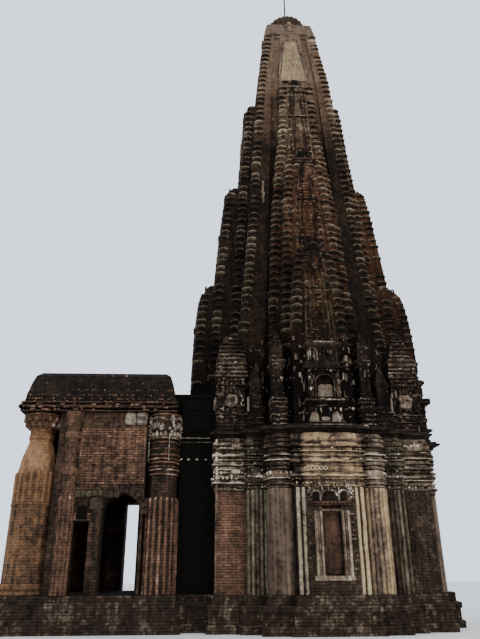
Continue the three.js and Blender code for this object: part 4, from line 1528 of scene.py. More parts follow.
class TEMPLE_OT_corner_turrets(TempleStep):
    """Ring the corner turrets with broken courses and give each a boss and a fan of leaves"""
    bl_idname = "temple.corner_turrets"
    bl_label = "Corner turrets"

    CENTRE = 2.575
    BOSS_Z = 6.05
    BOSS_R = 0.2
    RINGS = [
        (5.21, 0.06, 0.04, 0.4), (5.33, 0.04, 0.06, 0.7), (5.44, 0.035, 0.05, 0.8), (5.53, 0.04, 0.03, 0.3),
        (5.65, 0.04, 0.05, 1.0), (5.76, 0.05, 0.03, 0.3), (6.42, 0.05, 0.03, 0.3), (6.54, 0.05, 0.04, 0.5),
        (6.68, 0.05, 0.05, 0.8), (6.8, 0.05, 0.05, 0.9), (6.93, 0.07, 0.05, 1.0), (7.06, 0.06, 0.06, 0.9),
        (7.2, 0.07, 0.07, 0.9), (7.36, 0.06, 0.06, 0.8), (7.5, 0.07, 0.09, 0.7), (7.64, 0.07, 0.1, 0.5),
        (7.78, 0.07, 0.1, 0.5), (7.92, 0.07, 0.1, 0.4), (8.05, 0.07, 0.08, 0.4), (8.17, 0.06, 0.06, 0.4),
    ]

    def half(self, z):
        return reach("corner_turret_sw", 0, -self.CENTRE, z) - self.CENTRE

    def dress(self):
        rings = Stone()
        blocks = Rubble(31)
        bosses = Stone()
        leaves = []
        for quarter in range(4):
            for z, height, out, tone in self.RINGS:
                half = self.half(z)
                near = self.CENTRE + half
                inner = self.CENTRE - half
                corners = [(-near, inner), (-near, near), (-inner, near), (-inner, inner)]
                path = plan_path(quarter, corners, 0.1)
                rings.sweep(path, bead(z, height, out, tone), wear=0.9, seed=z + quarter)
                blocks.wrap(quarter, -self.CENTRE, half, inner, near, z + 0.05, 0.05, 0.45, -0.6, 0.7)
            near = self.CENTRE + self.half(self.BOSS_Z)
            for u, side in ((-self.CENTRE, quarter), (self.CENTRE, quarter + 3)):
                self.boss(bosses, side, u, near)
                blocks.course(side, u - 0.4, u + 0.4, 5.92, 0.04, 0.4, -0.4, 0.5, near)
                for step in range(9):
                    lean = math.radians(-80 + 20 * step + blocks.dice.uniform(-8, 8))
                    lift = 0.16 + 0.1 * math.cos(lean)
                    root = turned(side, u + 0.22 * math.sin(lean), near - 0.01, self.BOSS_Z + lift)
                    size = (blocks.dice.uniform(0.03, 0.07), 0.09, blocks.dice.uniform(0.12, 0.3))
                    leaves.append((root, (0.0, lean, bearing(side)), size, blocks.dice.uniform(-0.3, 0.6)))
        rings.build("corner_turret_rings", "turret")
        blocks.build("corner_turret_blocks", "turret")
        bosses.wobble(0.03, 0.11)
        bosses.build("corner_bosses", "boss")
        stand("corner_fans", leaf_unit(), leaves, "turret", wear=0.02, jitter=0.0)

    def boss(self, stone, side, u, near):
        """A worn round boss whose middle has broken out; the one to the right of a side is nearly square"""
        square = 0.34 if u > 0 else 0.0
        middle = ((0.5, 0.115, 1.2), (0.16, 0.12, 1.2)) if u > 0 else ((0.5, 0.085, 0.8), (0.16, 0.05, 0.3))
        rows = []
        tones = []
        # Flank darker than the face: painted shade where the boss meets the wall
        for share, out, tone in ((1.0, -0.04, 0.0), (1.0, 0.06, 0.5), (0.86, 0.1, 1.1), *middle):
            row = []
            shades = []
            for step in range(20):
                angle = 2 * math.pi * step / 20
                across, up = math.cos(angle), math.sin(angle)
                radius = self.BOSS_R * share * (1 + square * (1 - abs(math.cos(2 * angle))))
                radius *= 1 + 0.22 * ripple((across, up, u), 0.5, side)
                row.append(turned(side, u + radius * across, near + out, self.BOSS_Z + radius * up))
                shades.append(tone * (0.8 + 0.9 * ripple((across * share, up * share, u), 0.4)))
            rows.append(row)
            tones.append(shades)
        stone.skin(rows, tones)


class TEMPLE_OT_wall_turrets(TempleStep):
    """Stack small turrets of broken courses over the pilasters and the fluted strips"""
    bl_idname = "temple.wall_turrets"
    bl_label = "Wall turrets"

    STRIP_U = (PIER_INNER + STRIP_INNER) / 2
    # Core of each turret: height, half-width and front
    SLIM = [
        (CORNICE_TOP, 0.2, 3.72), (5.98, 0.2, 3.7), (6.04, 0.15, 3.64), (6.95, 0.14, 3.62), (7.0, 0.19, 3.66),
        (7.12, 0.19, 3.66), (7.16, 0.15, 3.6), (7.6, 0.14, 3.56), (8.0, 0.05, 3.46), (8.1, 0.02, 3.42),
    ]
    BROAD = [
        (CORNICE_TOP, 0.24, 3.18), (5.86, 0.24, 3.16), (5.92, 0.18, 3.1), (6.5, 0.17, 3.08),
        (6.56, 0.21, 3.1), (6.7, 0.16, 3.04), (7.0, 0.07, 2.96), (7.15, 0.02, 2.9),
    ]
    # Courses round them: height, thickness, chance, lowest and highest tone
    SLIM_ROWS = [
        (5.21, 0.05, 0.8, 0.0, 1.4), (5.34, 0.05, 0.8, 0.0, 1.2), (5.48, 0.06, 0.85, 0.1, 1.4),
        (5.6, 0.04, 0.6, -0.4, 0.7), (5.7, 0.05, 0.85, 0.2, 1.4), (5.85, 0.05, 0.8, 0.1, 1.2),
        (5.95, 0.05, 0.85, 0.2, 1.4), (6.12, 0.05, 0.6, -0.3, 0.6), (6.28, 0.05, 0.5, -0.3, 0.6),
        (6.98, 0.05, 0.6, -0.2, 1.0), (7.1, 0.05, 0.6, -0.2, 0.8), (7.25, 0.05, 0.5, -0.3, 0.7),
        (7.4, 0.05, 0.5, -0.3, 0.7), (7.55, 0.05, 0.5, -0.3, 0.9), (7.72, 0.05, 0.5, -0.3, 0.6),
        (7.86, 0.04, 0.5, -0.3, 0.6),
    ]
    BROAD_ROWS = [
        (5.22, 0.05, 0.6, -0.3, 0.7), (5.36, 0.05, 0.6, -0.3, 0.7), (5.5, 0.05, 0.6, -0.3, 0.6),
        (5.7, 0.04, 0.7, -0.1, 1.0), (5.82, 0.04, 0.7, -0.1, 1.0), (6.0, 0.05, 0.5, -0.4, 0.5),
        (6.2, 0.05, 0.5, -0.4, 0.5), (6.52, 0.06, 0.6, -0.3, 0.7), (6.66, 0.05, 0.5, -0.3, 0.6),
        (6.82, 0.05, 0.5, -0.4, 0.5),
    ]

    def dress(self):
        core = Stone()
        blocks = Rubble(37)
        for quarter in range(3):
            for hand in (-1, 1):
                for u, back, levels, rows in (
                    (hand * PILASTER_U, 2.6, self.SLIM, self.SLIM_ROWS),
                    (hand * self.STRIP_U, 2.2, self.BROAD, self.BROAD_ROWS),
                ):
                    self.core(core, quarter, u, back, levels)
                    for z, height, chance, low, high in rows:
                        half, front = self.at(levels, z)
                        tones = (low - 0.1, high - 0.5)
                        blocks.wrap(quarter, u, half, back + 0.3, front, z, height * 0.8, chance, *tones)
                u = hand * PILASTER_U
                blocks.strokes(quarter, u - 0.14, u + 0.14, 6.45, 6.85, 7, 0.1, 0.9, 3.63)
                blocks.strokes(quarter, hand * 1.9 - 0.2, hand * 1.9 + 0.2, 5.9, 6.5, 4, -0.3, 0.6, 3.1)
                blocks.mark(quarter, hand * 2.1, 5.9, 0.06, 0.42, 0.9, 3.17)
        core.wobble(0.02, 0.25)
        core.build("wall_turrets", "turret")
        blocks.build("wall_turret_blocks", "turret", wear=0.04)

    def core(self, stone, quarter, u, back, levels):
        rows = []
        for z, half, front in levels:
            corners = ((u - half, back), (u - half, front), (u + half, front), (u + half, back))
            rows.append(at_height(quarter, z, corners))
        stone.skin(rows, [0.0] * len(rows))

    def at(self, levels, z):
        """Half-width and front of a core at a height"""
        for (z0, half0, front0), (z1, half1, front1) in zip(levels, levels[1:]):
            if z <= z1:
                share = (z - z0) / (z1 - z0)
                return half0 + (half1 - half0) * share, front0 + (front1 - front0) * share
        raise RuntimeError("A course stands above its turret")


class TEMPLE_OT_broken_ornament(TempleStep):
    """Scatter what is left of the ornament over the dark foot of the spire, and lay pale strips along the
    cornice's edge, partly lime and partly a painted highlight
    """
    bl_idname = "temple.broken_ornament"
    bl_label = "Broken ornament"

    # Places on each side that still show: u, z, width, height, tone
    MARKS = [
        (0.715, 7.05, 0.08, 0.4, 1.0), (0.88, 7.39, 0.06, 0.17, 1.3), (-1.15, 7.58, 0.06, 0.22, 1.0),
        (-0.44, 7.45, 0.1, 0.05, 1.3), (-0.62, 7.48, 0.06, 0.1, 0.5), (0.56, 6.9, 0.08, 0.05, 1.3),
        (-0.65, 6.62, 0.06, 0.18, 1.2), (-0.6, 6.5, 0.04, 0.3, 0.5), (-0.85, 6.66, 0.05, 0.09, 0.8),
        (0.6, 6.58, 0.05, 0.26, 0.9), (0.68, 6.55, 0.04, 0.3, 0.7), (0.84, 6.66, 0.05, 0.1, 0.8),
        (1.0, 6.56, 0.06, 0.18, 1.2), (0.7, 5.66, 0.06, 0.06, 1.1), (0.8, 5.64, 0.07, 0.08, 1.5),
        (0.62, 5.62, 0.05, 0.05, 0.7), (-0.7, 5.5, 0.07, 0.05, 0.6), (-0.6, 5.35, 0.05, 0.14, 0.6),
        (0.7, 5.4, 0.07, 0.05, 0.7), (-0.75, 7.15, 0.04, 0.2, 0.5), (-0.6, 7.02, 0.05, 0.1, 0.8),
    ]

    def dress(self):
        blocks = Rubble(41)
        dice = blocks.dice
        for quarter in range(4):
            for u, z, width, height, tone in self.MARKS:
                blocks.mark(quarter, u, z, width, height * 0.8, tone * 0.75)
            for _ in range(430 if quarter < 3 else 200):
                u = dice.uniform(-2.95, 2.95)
                z = dice.uniform(CORNICE_TOP + 0.05, 7.9)
                upright = dice.random() < 0.45
                width, height = dice.uniform(0.02, 0.07), dice.uniform(0.02, 0.05)
                if upright:
                    width, height = height * 0.8, width * 3.0
                tone = (0.8 if abs(u) < 1.2 else 1.4) * dice.random() ** 3 - 0.2
                if abs(u) > 0.5 or z > 7.6:
                    blocks.mark(quarter, u, z, width, height, tone)
        blocks.build("broken_ornament", "speck", wear=0.04)
        edge = Stone()
        top = CORNICE_TOP
        # Pale strips on the cornice's top edge, brightest in the middle of each side: partly lime, partly a
        # painted highlight on the lit edge
        for quarter in range(3):
            for step in range(12):
                u = -0.62 + 0.12 * step
                tone = 1.3 - 1.1 * abs(u) + 0.5 * ripple((u, quarter, 0.5), 0.3)
                edge.slab(quarter, u, u + 0.125, 3.95, 4.022, top - 0.02, top + 0.008, tone, 0.008)
            edge.slab(quarter, 0.99, 1.19, 3.6, 3.86, top - 0.06, top + 0.02, 1.9, 0.02)
        edge.wobble(0.012, 0.2)
        edge.build("cornice_edge", "spot")


class TEMPLE_OT_balconies(TempleStep):
    """Carve the panels, posts, arches and ledges of the two-storey balconies"""
    bl_idname = "temple.balconies"
    bl_label = "Balconies"

    BASE = 4.02
    BODY = 4.05
    EAVE = 4.2

    def dress(self):
        panels = Stone()
        trim = Stone()
        dark = Stone()
        lines = []
        teeth = []
        blocks = Rubble(43)
        dice = blocks.dice
        for quarter in range(3):
            self.foot(quarter, panels, dark, blocks)
            self.middle(quarter, panels, trim, lines, blocks)
            for z, half, front, height, tone in (
                (5.2, 0.5, self.BASE, 0.03, 0.7), (5.77, 0.56, 4.18, 0.04, 1.1),
                (5.86, 0.42, 4.06, 0.04, 0.2), (6.73, 0.58, self.EAVE, 0.05, 0.5),
                (6.82, 0.57, self.EAVE, 0.04, 0.2), (7.44, 0.5, 4.12, 0.1, 0.2),
            ):
                path = fronted(quarter, half, front, 3.88, 0.07)
                trim.sweep(path, bead(z, height, 0.03, tone), wear=0.9, seed=z)
            panels.slab(quarter, -0.28, 0.32, 4.0, 4.14, 7.475, 7.535, 1.1, 0.015)
            for u, half, tone in ((-0.3, 0.125, 1.0), (-0.31, 0.06, 0.5), (0.285, 0.1, 0.3)):
                lines.append(arch_line(quarter, u, half, self.BODY + 0.02, 6.96, 7.33 - half, tone, 1.0))
            blocks.strokes(quarter, -0.38, -0.22, 7.02, 7.25, 4, 0.2, 1.0, self.BODY + 0.02)
            blocks.strokes(quarter, -0.1, 0.44, 7.0, 7.28, 6, -0.4, 0.7, self.BODY)
            for step in range(8):
                u = -0.38 + 0.11 * step + dice.uniform(-0.03, 0.03)
                place = turned(quarter, u, self.EAVE - 0.03, 6.71)
                size = (dice.uniform(0.06, 0.13), 0.08, dice.uniform(0.05, 0.13))
                teeth.append((place, (0.0, math.pi, bearing(quarter + 2)), size, dice.uniform(-0.4, 0.6)))
        panels.wobble(0.02, 0.09)
        trim.wobble(0.015, 0.12)
        panels.build("balcony_panels", "boss")
        trim.build("balcony_trim", "turret")
        dark.build("balcony_openings", "dark")
        fillets("balcony_frames", lines, "spot", 0.02, wear=0.03)
        blocks.build("balcony_blocks", "speck", wear=0.03)
        stand("balcony_teeth", leaf_unit(), teeth, "speck", wear=0.03, jitter=0.0)

    def foot(self, quarter, panels, dark, blocks):
        """Bell-shaped panels on both sides of a round opening, which is a flat panel painted dark as painted
        shade, under the ledge
        """
        for u, tone in ((-0.33, 1.05), (0.27, 1.15)):
            self.bell(panels, quarter, u, tone)
        panels.slab(quarter, -0.15, 0.09, self.BASE - 0.02, self.BASE + 0.05, 5.24, 5.34, 1.1, 0.025)
        # The round opening is a flat panel painted dark: painted shade
        dark.panel(quarter, -0.02, 0.1, self.BASE - 0.02, self.BASE + 0.012, 5.34, 5.62, 0.0, crown=1.0)
        for u in (-0.15, 0.12, 0.4):
            blocks.mark(quarter, u, 5.55, 0.045, 0.08, 1.0, self.BASE + 0.01, 0.04)
        blocks.course(quarter, -0.44, 0.44, 5.66, 0.04, 0.5, -0.3, 0.5, self.BASE)
        blocks.strokes(quarter, -0.44, 0.44, 5.3, 5.6, 8, -0.3, 0.6, self.BASE)

    def bell(self, stone, quarter, u, tone):
        """A bell-shaped panel, wider at its foot"""
        levels = ((5.2, 0.13, 0.9), (5.26, 0.14, 1.0), (5.35, 0.13, 1.0), (5.43, 0.1, 0.8), (5.49, 0.05, 0.4))
        rows = []
        for z, half, _ in levels:
            rows.append(at_height(quarter, z, (
                (u - half, self.BASE - 0.02), (u - half * 0.7, self.BASE + 0.04), (u, self.BASE + 0.055),
                (u + half * 0.7, self.BASE + 0.04), (u + half, self.BASE - 0.02),
            )))
        stone.skin(rows, [tone * shade for _, _, shade in levels])

    def middle(self, quarter, panels, trim, lines, blocks):
        """A pale panel that leans in a dark arched recess, between speckled posts"""
        panels.panel(quarter, 0.02, 0.215, 3.88, 3.98, 5.92, 6.3, 0.85, crown=0.35)
        lines.append(arch_line(quarter, 0.0, 0.27, self.BODY + 0.01, 5.9, 6.34, 0.3, 0.8))
        for u, half, tone in ((-0.375, 0.04, 0.3), (0.375, 0.06, 0.5)):
            trim.slab(quarter, u - half, u + half, 3.98, self.BODY + 0.04, 5.88, 6.62, tone, 0.015)
        for u, z in ((-0.43, 6.66), (-0.43, 6.43), (-0.41, 6.12)):
            blocks.mark(quarter, u, z, 0.05, 0.09, 0.9, self.BODY + 0.03, 0.04)
        blocks.strokes(quarter, 0.31, 0.45, 5.95, 6.55, 9, -0.1, 0.7, self.BODY + 0.04)
        blocks.strokes(quarter, -0.44, -0.3, 5.95, 6.6, 5, -0.2, 0.5, self.BODY + 0.04)
        blocks.course(quarter, -0.18, 0.56, 5.79, 0.04, 0.8, 0.2, 1.0, 4.19)
        blocks.course(quarter, -0.56, -0.18, 5.79, 0.03, 0.6, -0.2, 0.5, 4.18)


class TEMPLE_OT_niches(TempleStep):
    """Frame the blind niches, carve the ledge, the drops and the waves over them, and paint the recesses as
    painted shade on flat dark panels
    """
    bl_idname = "temple.niches"
    bl_label = "Niches"

    # Flat panels painted dark over the ledge, as painted shade of recesses: middle, half-width, foot and head
    RECESSES = [(-0.4, 0.09, 3.13, 3.35), (-0.05, 0.18, 3.14, 3.37), (0.33, 0.085, 3.14, 3.37)]

    def dress(self):
        trim = Stone()
        dark = Stone()
        red = Stone()
        chains = []
        drops = []
        blocks = Rubble(47)
        dice = blocks.dice
        face = BAY_FACE
        for quarter in range(3):
            for u0, u1, out, tone in (
                (-0.32, -0.26, 0.07, 0.7), (-0.38, -0.33, 0.04, 0.5), (-0.46, -0.39, 0.06, 0.7),
                (0.25, 0.31, 0.07, 0.6), (0.33, 0.38, 0.04, 0.4), (0.39, 0.46, 0.06, 1.0),
            ):
                trim.slab(quarter, u0, u1, face - 0.02, face + out, NICHE_SILL - 0.1, 2.9, tone)
            trim.slab(quarter, -0.3, 0.28, face - 0.02, face + 0.09, 2.88, 2.93, 0.35)
            trim.slab(quarter, -0.52, 0.5, face - 0.02, face + 0.05, 1.22, 1.33, 0.8)
            for z0, z1, out, tone in ((3.02, 3.06, 0.09, 0.2), (3.06, 3.12, 0.13, 0.3)):
                for step in range(9):
                    u = -0.5 + 0.11 * step
                    lift = 0.012 * ripple((u, z0, quarter), 0.15)
                    shade = tone + dice.uniform(-0.3, 0.3)
                    red.slab(quarter, u, u + 0.113, face - 0.02, face + out + lift, z0, z1, shade)
            red.slab(quarter, -0.22, 0.22, face - 0.2, face - 0.15, 1.38, 3.0, 0.0)
            for u, half, foot, head in self.RECESSES:
                # Each recess is a flat panel painted dark: painted shade
                dark.panel(quarter, u, half, face - 0.02, face + 0.008, foot, head, -0.5, crown=0.8)
                self.surround(quarter, u, half, head, blocks)
            for u in (-0.28, 0.2):
                blocks.mark(quarter, u, 3.24, 0.045, 0.22, 0.6, face + 0.02, 0.05)
            blocks.mark(quarter, 0.22, 3.37, 0.05, 0.06, 1.5, face + 0.04, 0.04)
            for z in (3.16, 3.22, 3.28, 3.34, 3.4, 3.45):
                blocks.course(quarter, -0.62, -0.5, z, 0.05, 0.8, -0.4, 0.8, face)
                blocks.course(quarter, 0.43, 0.62, z, 0.05, 0.8, -0.4, 1.0, face)
            for z in (1.5 + 0.1 * step for step in range(14)):
                blocks.course(quarter, -0.62, -0.47, z, 0.05, 0.5, -0.5, 0.4, face)
                blocks.course(quarter, 0.47, 0.62, z, 0.05, 0.5, -0.5, 0.5, face)
            self.chain(quarter, chains)
            path = fronted(quarter, 0.5, face + 0.02, face - 0.02, 0.06)
            trim.sweep(path, bead(3.6, 0.02, 0.03, 0.8), wear=0.9, seed=7.0)
            u = -0.6
            while u < 0.6:
                place = turned(quarter, u, face + 0.015, 3.6 + dice.uniform(-0.04, 0.0))
                size = (dice.uniform(0.03, 0.06), 0.12, dice.uniform(0.06, 0.2))
                drops.append((place, (0.0, math.pi, bearing(quarter + 2)), size, dice.uniform(-0.3, 1.1)))
                u += dice.uniform(0.035, 0.09)
        trim.wobble(0.015, 0.15)
        red.wobble(0.02, 0.1)
        trim.build("niche_trim", "moulding")
        red.build("niche_panels", "brick")
        dark.build("niche_recesses", "recess")
        fillets("frieze_waves", chains, "bay", 0.015, wear=0.02)
        blocks.build("niche_stones", "wall_block", wear=0.04)
        stand("leaf_tips", leaf_unit(), drops, "moulding", wear=0.03, jitter=0.0)

    def surround(self, quarter, u, half, head, blocks):
        """Rough stones round the head of a recess"""
        dice = blocks.dice
        for step in range(9):
            angle = math.pi * step / 8
            across = u + (half + 0.03) * math.cos(angle)
            level = head - half * 0.5 + (half * 0.5 + 0.04) * math.sin(angle)
            size = dice.uniform(0.03, 0.06)
            tone = dice.uniform(-0.3, 0.7)
            blocks.mark(quarter, across, level, size * 1.2, size, tone, BAY_FACE + 0.03, 0.05)

    def chain(self, quarter, chains):
        """Two waves that cross each other along the frieze, clear on the left and worn on the right"""
        out = BAY_FACE + 0.045
        for hand in (-1, 1):
            row = []
            for step in range(65):
                u = -0.6 + 0.018 * step
                z = 3.98 + hand * 0.045 * math.sin(math.pi * (u + 0.6) / 0.11)
                tone = 1.7 if u < -0.05 else 0.6 + 0.9 * ripple((u, z, quarter), 0.12)
                row.append((turned(quarter, u, out - (0.0 if u < 0.1 else 0.012), z), tone))
            chains.append(row)
        for edge in (3.92, 4.04):
            line = [(turned(quarter, -0.6 + 0.1 * step, out, edge), 1.4 - 0.25 * step) for step in range(7)]
            chains.append(line)


class TEMPLE_OT_passage(TempleStep):
    """Run the thin mouldings and the row of blocks along the passage walls"""
    bl_idname = "temple.passage"
    bl_label = "Passage"

    def dress(self):
        stone = Stone()
        pale = Stone()
        blocks = Rubble(53)
        for quarter, mirror in ((0, 1), (2, -1)):
            ends = sorted((mirror * -4.05, mirror * -3.0))
            path = plan_path(quarter, [(u, PASSAGE_FACE) for u in ends], 0.12)
            for lines, z, height, out, tone in (
                (stone, 5.27, 0.08, 0.06, 0.4), (stone, 6.3, 0.1, 0.04, 0.3), (stone, 5.9, 0.05, 0.03, 0.3),
                (pale, 4.93, 0.03, 0.04, 0.9), (pale, 5.05, 0.035, 0.05, 1.3),
            ):
                lines.sweep(path, bead(z, height, out, tone, back=-0.01), seed=z)
            for u, tone in ((-4.0, 0.7), (-3.8, 1.1), (-3.56, 1.3), (-3.3, 0.6)):
                blocks.mark(quarter, mirror * u, 4.44, 0.07, 0.045, tone, PASSAGE_FACE, 0.035)
        stone.build("passage_mouldings", "dark")
        pale.build("passage_lines", "capital")
        blocks.build("passage_blocks", "capital")


class TEMPLE_OT_hall_piers(TempleStep):
    """Flute the hall's piers, ring their necks and open lotus capitals round them"""
    bl_idname = "temple.hall_piers"
    bl_label = "Hall piers"

    EAST = (-4.5, 2.57, 0.425)
    WEST = (-8.06, 2.4, 0.6)
    SLIM = (-7.05, 2.93, 0.2)
    # Depth of a reed, which is also the unit of its height
    REED = 0.07
    # The fans of a capital look past the pier's square, by this angle
    FAN_TURN = math.radians(-28)
    # Height, radius, thickness and tone of the rings under a capital
    EAST_RINGS = [
        (3.97, 0.42, 0.05, 1.8), (4.08, 0.45, 0.06, 2.0), (4.17, 0.455, 0.05, 1.5), (4.28, 0.44, 0.05, 1.8),
        (4.38, 0.46, 0.05, 1.5), (4.5, 0.45, 0.06, 1.0), (4.66, 0.43, 0.05, 0.7), (4.86, 0.42, 0.05, 1.0),
        (4.97, 0.42, 0.05, 1.4), (5.64, 0.5, 0.06, 1.0),
    ]
    WEST_RINGS = [
        (3.16, 0.62, 0.08, 0.6), (5.02, 0.37, 0.06, 0.5), (5.12, 0.36, 0.05, 0.7), (5.24, 0.36, 0.05, 0.6),
        (5.66, 0.57, 0.07, 0.5), (1.1, 0.64, 0.16, 0.5), (0.95, 0.68, 0.1, 0.5),
    ]

    def place(self, centre, angle, radius, z):
        """A place round a pier; the angle runs from -Y"""
        return Vector((centre[0] + radius * math.sin(angle), centre[1] - radius * math.cos(angle), z))

    def around(self, centre, radius, count, z, size, shade, shift=0.0):
        spots = []
        for step in range(count):
            angle = 2 * math.pi * (step + shift) / count
            place = self.place(centre, angle, radius, z)
            spots.append((place, angle, size, shade + 0.5 * ripple(place, 0.5)))
        return spots

    def dress(self):
        rings = Stone()
        west_rings = Stone()
        reeds = []
        short_reeds = []
        petals = []
        dull_petals = []
        fans = []
        dice = random.Random(59)
        for hand in (-1, 1):
            x, y, r = self.EAST
            centre = (x, hand * y)
            reeds += self.around(centre, r - 0.03, 16, FLOOR, (0.05, self.REED, self.REED), 0.5)
            for z, radius, height, tone in self.EAST_RINGS:
                self.ring(rings, centre, z, radius, height, tone)
            for quarter in range(4):
                self.capital(centre, bearing(quarter) + self.FAN_TURN, dice, petals, fans)
            x, y, r = self.WEST
            centre = (x, hand * y)
            short_reeds += self.around(centre, r - 0.06, 20, 3.2, (0.06, self.REED, self.REED), 0.1)
            for z, radius, height, tone in self.WEST_RINGS:
                self.ring(west_rings, centre, z, radius, height, tone)
            dull_petals += self.around(centre, 0.36, 14, 5.28, (0.18, 0.4, 0.24), 0.1)
            dull_petals += self.around(centre, 0.46, 16, 5.44, (0.17, 0.3, 0.2), 0.1, 0.5)
            x, y, r = self.SLIM
            centre = (x, hand * y)
            self.column(rings, centre, r)
            reeds += self.around(centre, r - 0.02, 10, FLOOR, (0.045, 0.045, self.REED), 0.1)
        rings.wobble(0.012, 0.2)
        rings.build("hall_pier_rings", "hall")
        west_rings.build("hall_west_rings", "west_pier")
        for name, height, spots, finish in (
            ("hall_reeds", 3.34 - FLOOR, reeds, "hall"), ("hall_short_reeds", 0.85, short_reeds, "west_pier"),
        ):
            stand(name, reed_unit(height / self.REED), spots, finish, wear=0.02, jitter=0.0)
        for name, spots, finish in (
            ("hall_petals", petals, "capital"), ("hall_west_petals", dull_petals, "hall"),
            ("hall_fans", fans, "capital"),
        ):
            stand(name, leaf_unit(), spots, finish, wear=0.03, jitter=0.0)

    def capital(self, centre, turn, dice, petals, fans):
        """One fan over a cluster of petals under an arched lip, with an upright rough leaf at its right"""
        for step in range(9):
            lean = math.radians(-80 + 20 * step + dice.uniform(-5, 5))
            size = (dice.uniform(0.045, 0.07), 0.1, dice.uniform(0.15, 0.22))
            root = self.place(centre, turn + 0.25 * math.sin(lean), 0.45, 5.17 + 0.08 * math.cos(lean))
            fans.append((root, (0.0, lean, turn), size, dice.uniform(-0.2, 0.5)))
        for step in range(-2, 3):
            angle = turn + 0.3 * step
            size = (dice.uniform(0.1, 0.15), 0.24, dice.uniform(0.13, 0.18))
            petals.append((self.place(centre, angle, 0.39, 5.0), angle, size, 0.5 - 0.2 * abs(step)))
        for step in range(-3, 4):
            angle = turn + 0.2 * step
            lift = 0.1 * math.cos(0.4 * step)
            size = (dice.uniform(0.1, 0.14), 0.2, dice.uniform(0.06, 0.1))
            root = self.place(centre, angle, 0.42, 5.42 + lift)
            petals.append((root, angle, size, dice.uniform(-0.4, 0.2)))
        corner = turn + math.radians(56)
        for step in range(7):
            angle = corner + dice.uniform(-0.14, 0.14)
            size = (dice.uniform(0.06, 0.13), 0.2, dice.uniform(0.08, 0.15))
            root = self.place(centre, angle, 0.44, 5.02 + 0.085 * step)
            petals.append((root, angle, size, dice.uniform(0.0, 0.9)))
        angle = corner - 0.12
        for step in range(6):
            root = self.place(centre, angle, 0.44, 4.3 + 0.12 * step)
            petals.append((root, angle, (0.04, 0.1, 0.13), dice.uniform(-0.3, 0.4)))

    def ring(self, stone, centre, z, radius, height, tone):
        """A worn moulding round a pier, thicker in some places than in others"""
        sides = 32
        inner = radius - 0.06
        turns = [2 * math.pi * step / sides + 0.3 for step in range(sides + 1)]
        path = [(centre[0] + inner * math.cos(turn), centre[1] + inner * math.sin(turn)) for turn in turns]
        stone.sweep(path, bead(z, height, 0.06, tone, back=-0.06), wear=0.7, seed=z)

    def column(self, stone, centre, radius):
        # The rings are paler than the narrower stretches between them: painted shade in the recesses
        levels = [
            (1.0, FLOOR, 0.3), (0.95, 3.9, 0.4), (1.1, 3.95, 0.7), (1.1, 4.1, 0.8), (0.85, 4.15, 0.3),
            (0.8, 4.9, 0.4), (1.1, 4.95, 0.7), (1.15, 5.1, 0.8), (0.9, 5.15, 0.3), (1.35, 5.68, 0.7),
        ]
        stone.lathe(centre, [(radius * share, z, tone) for share, z, tone in levels], 16)


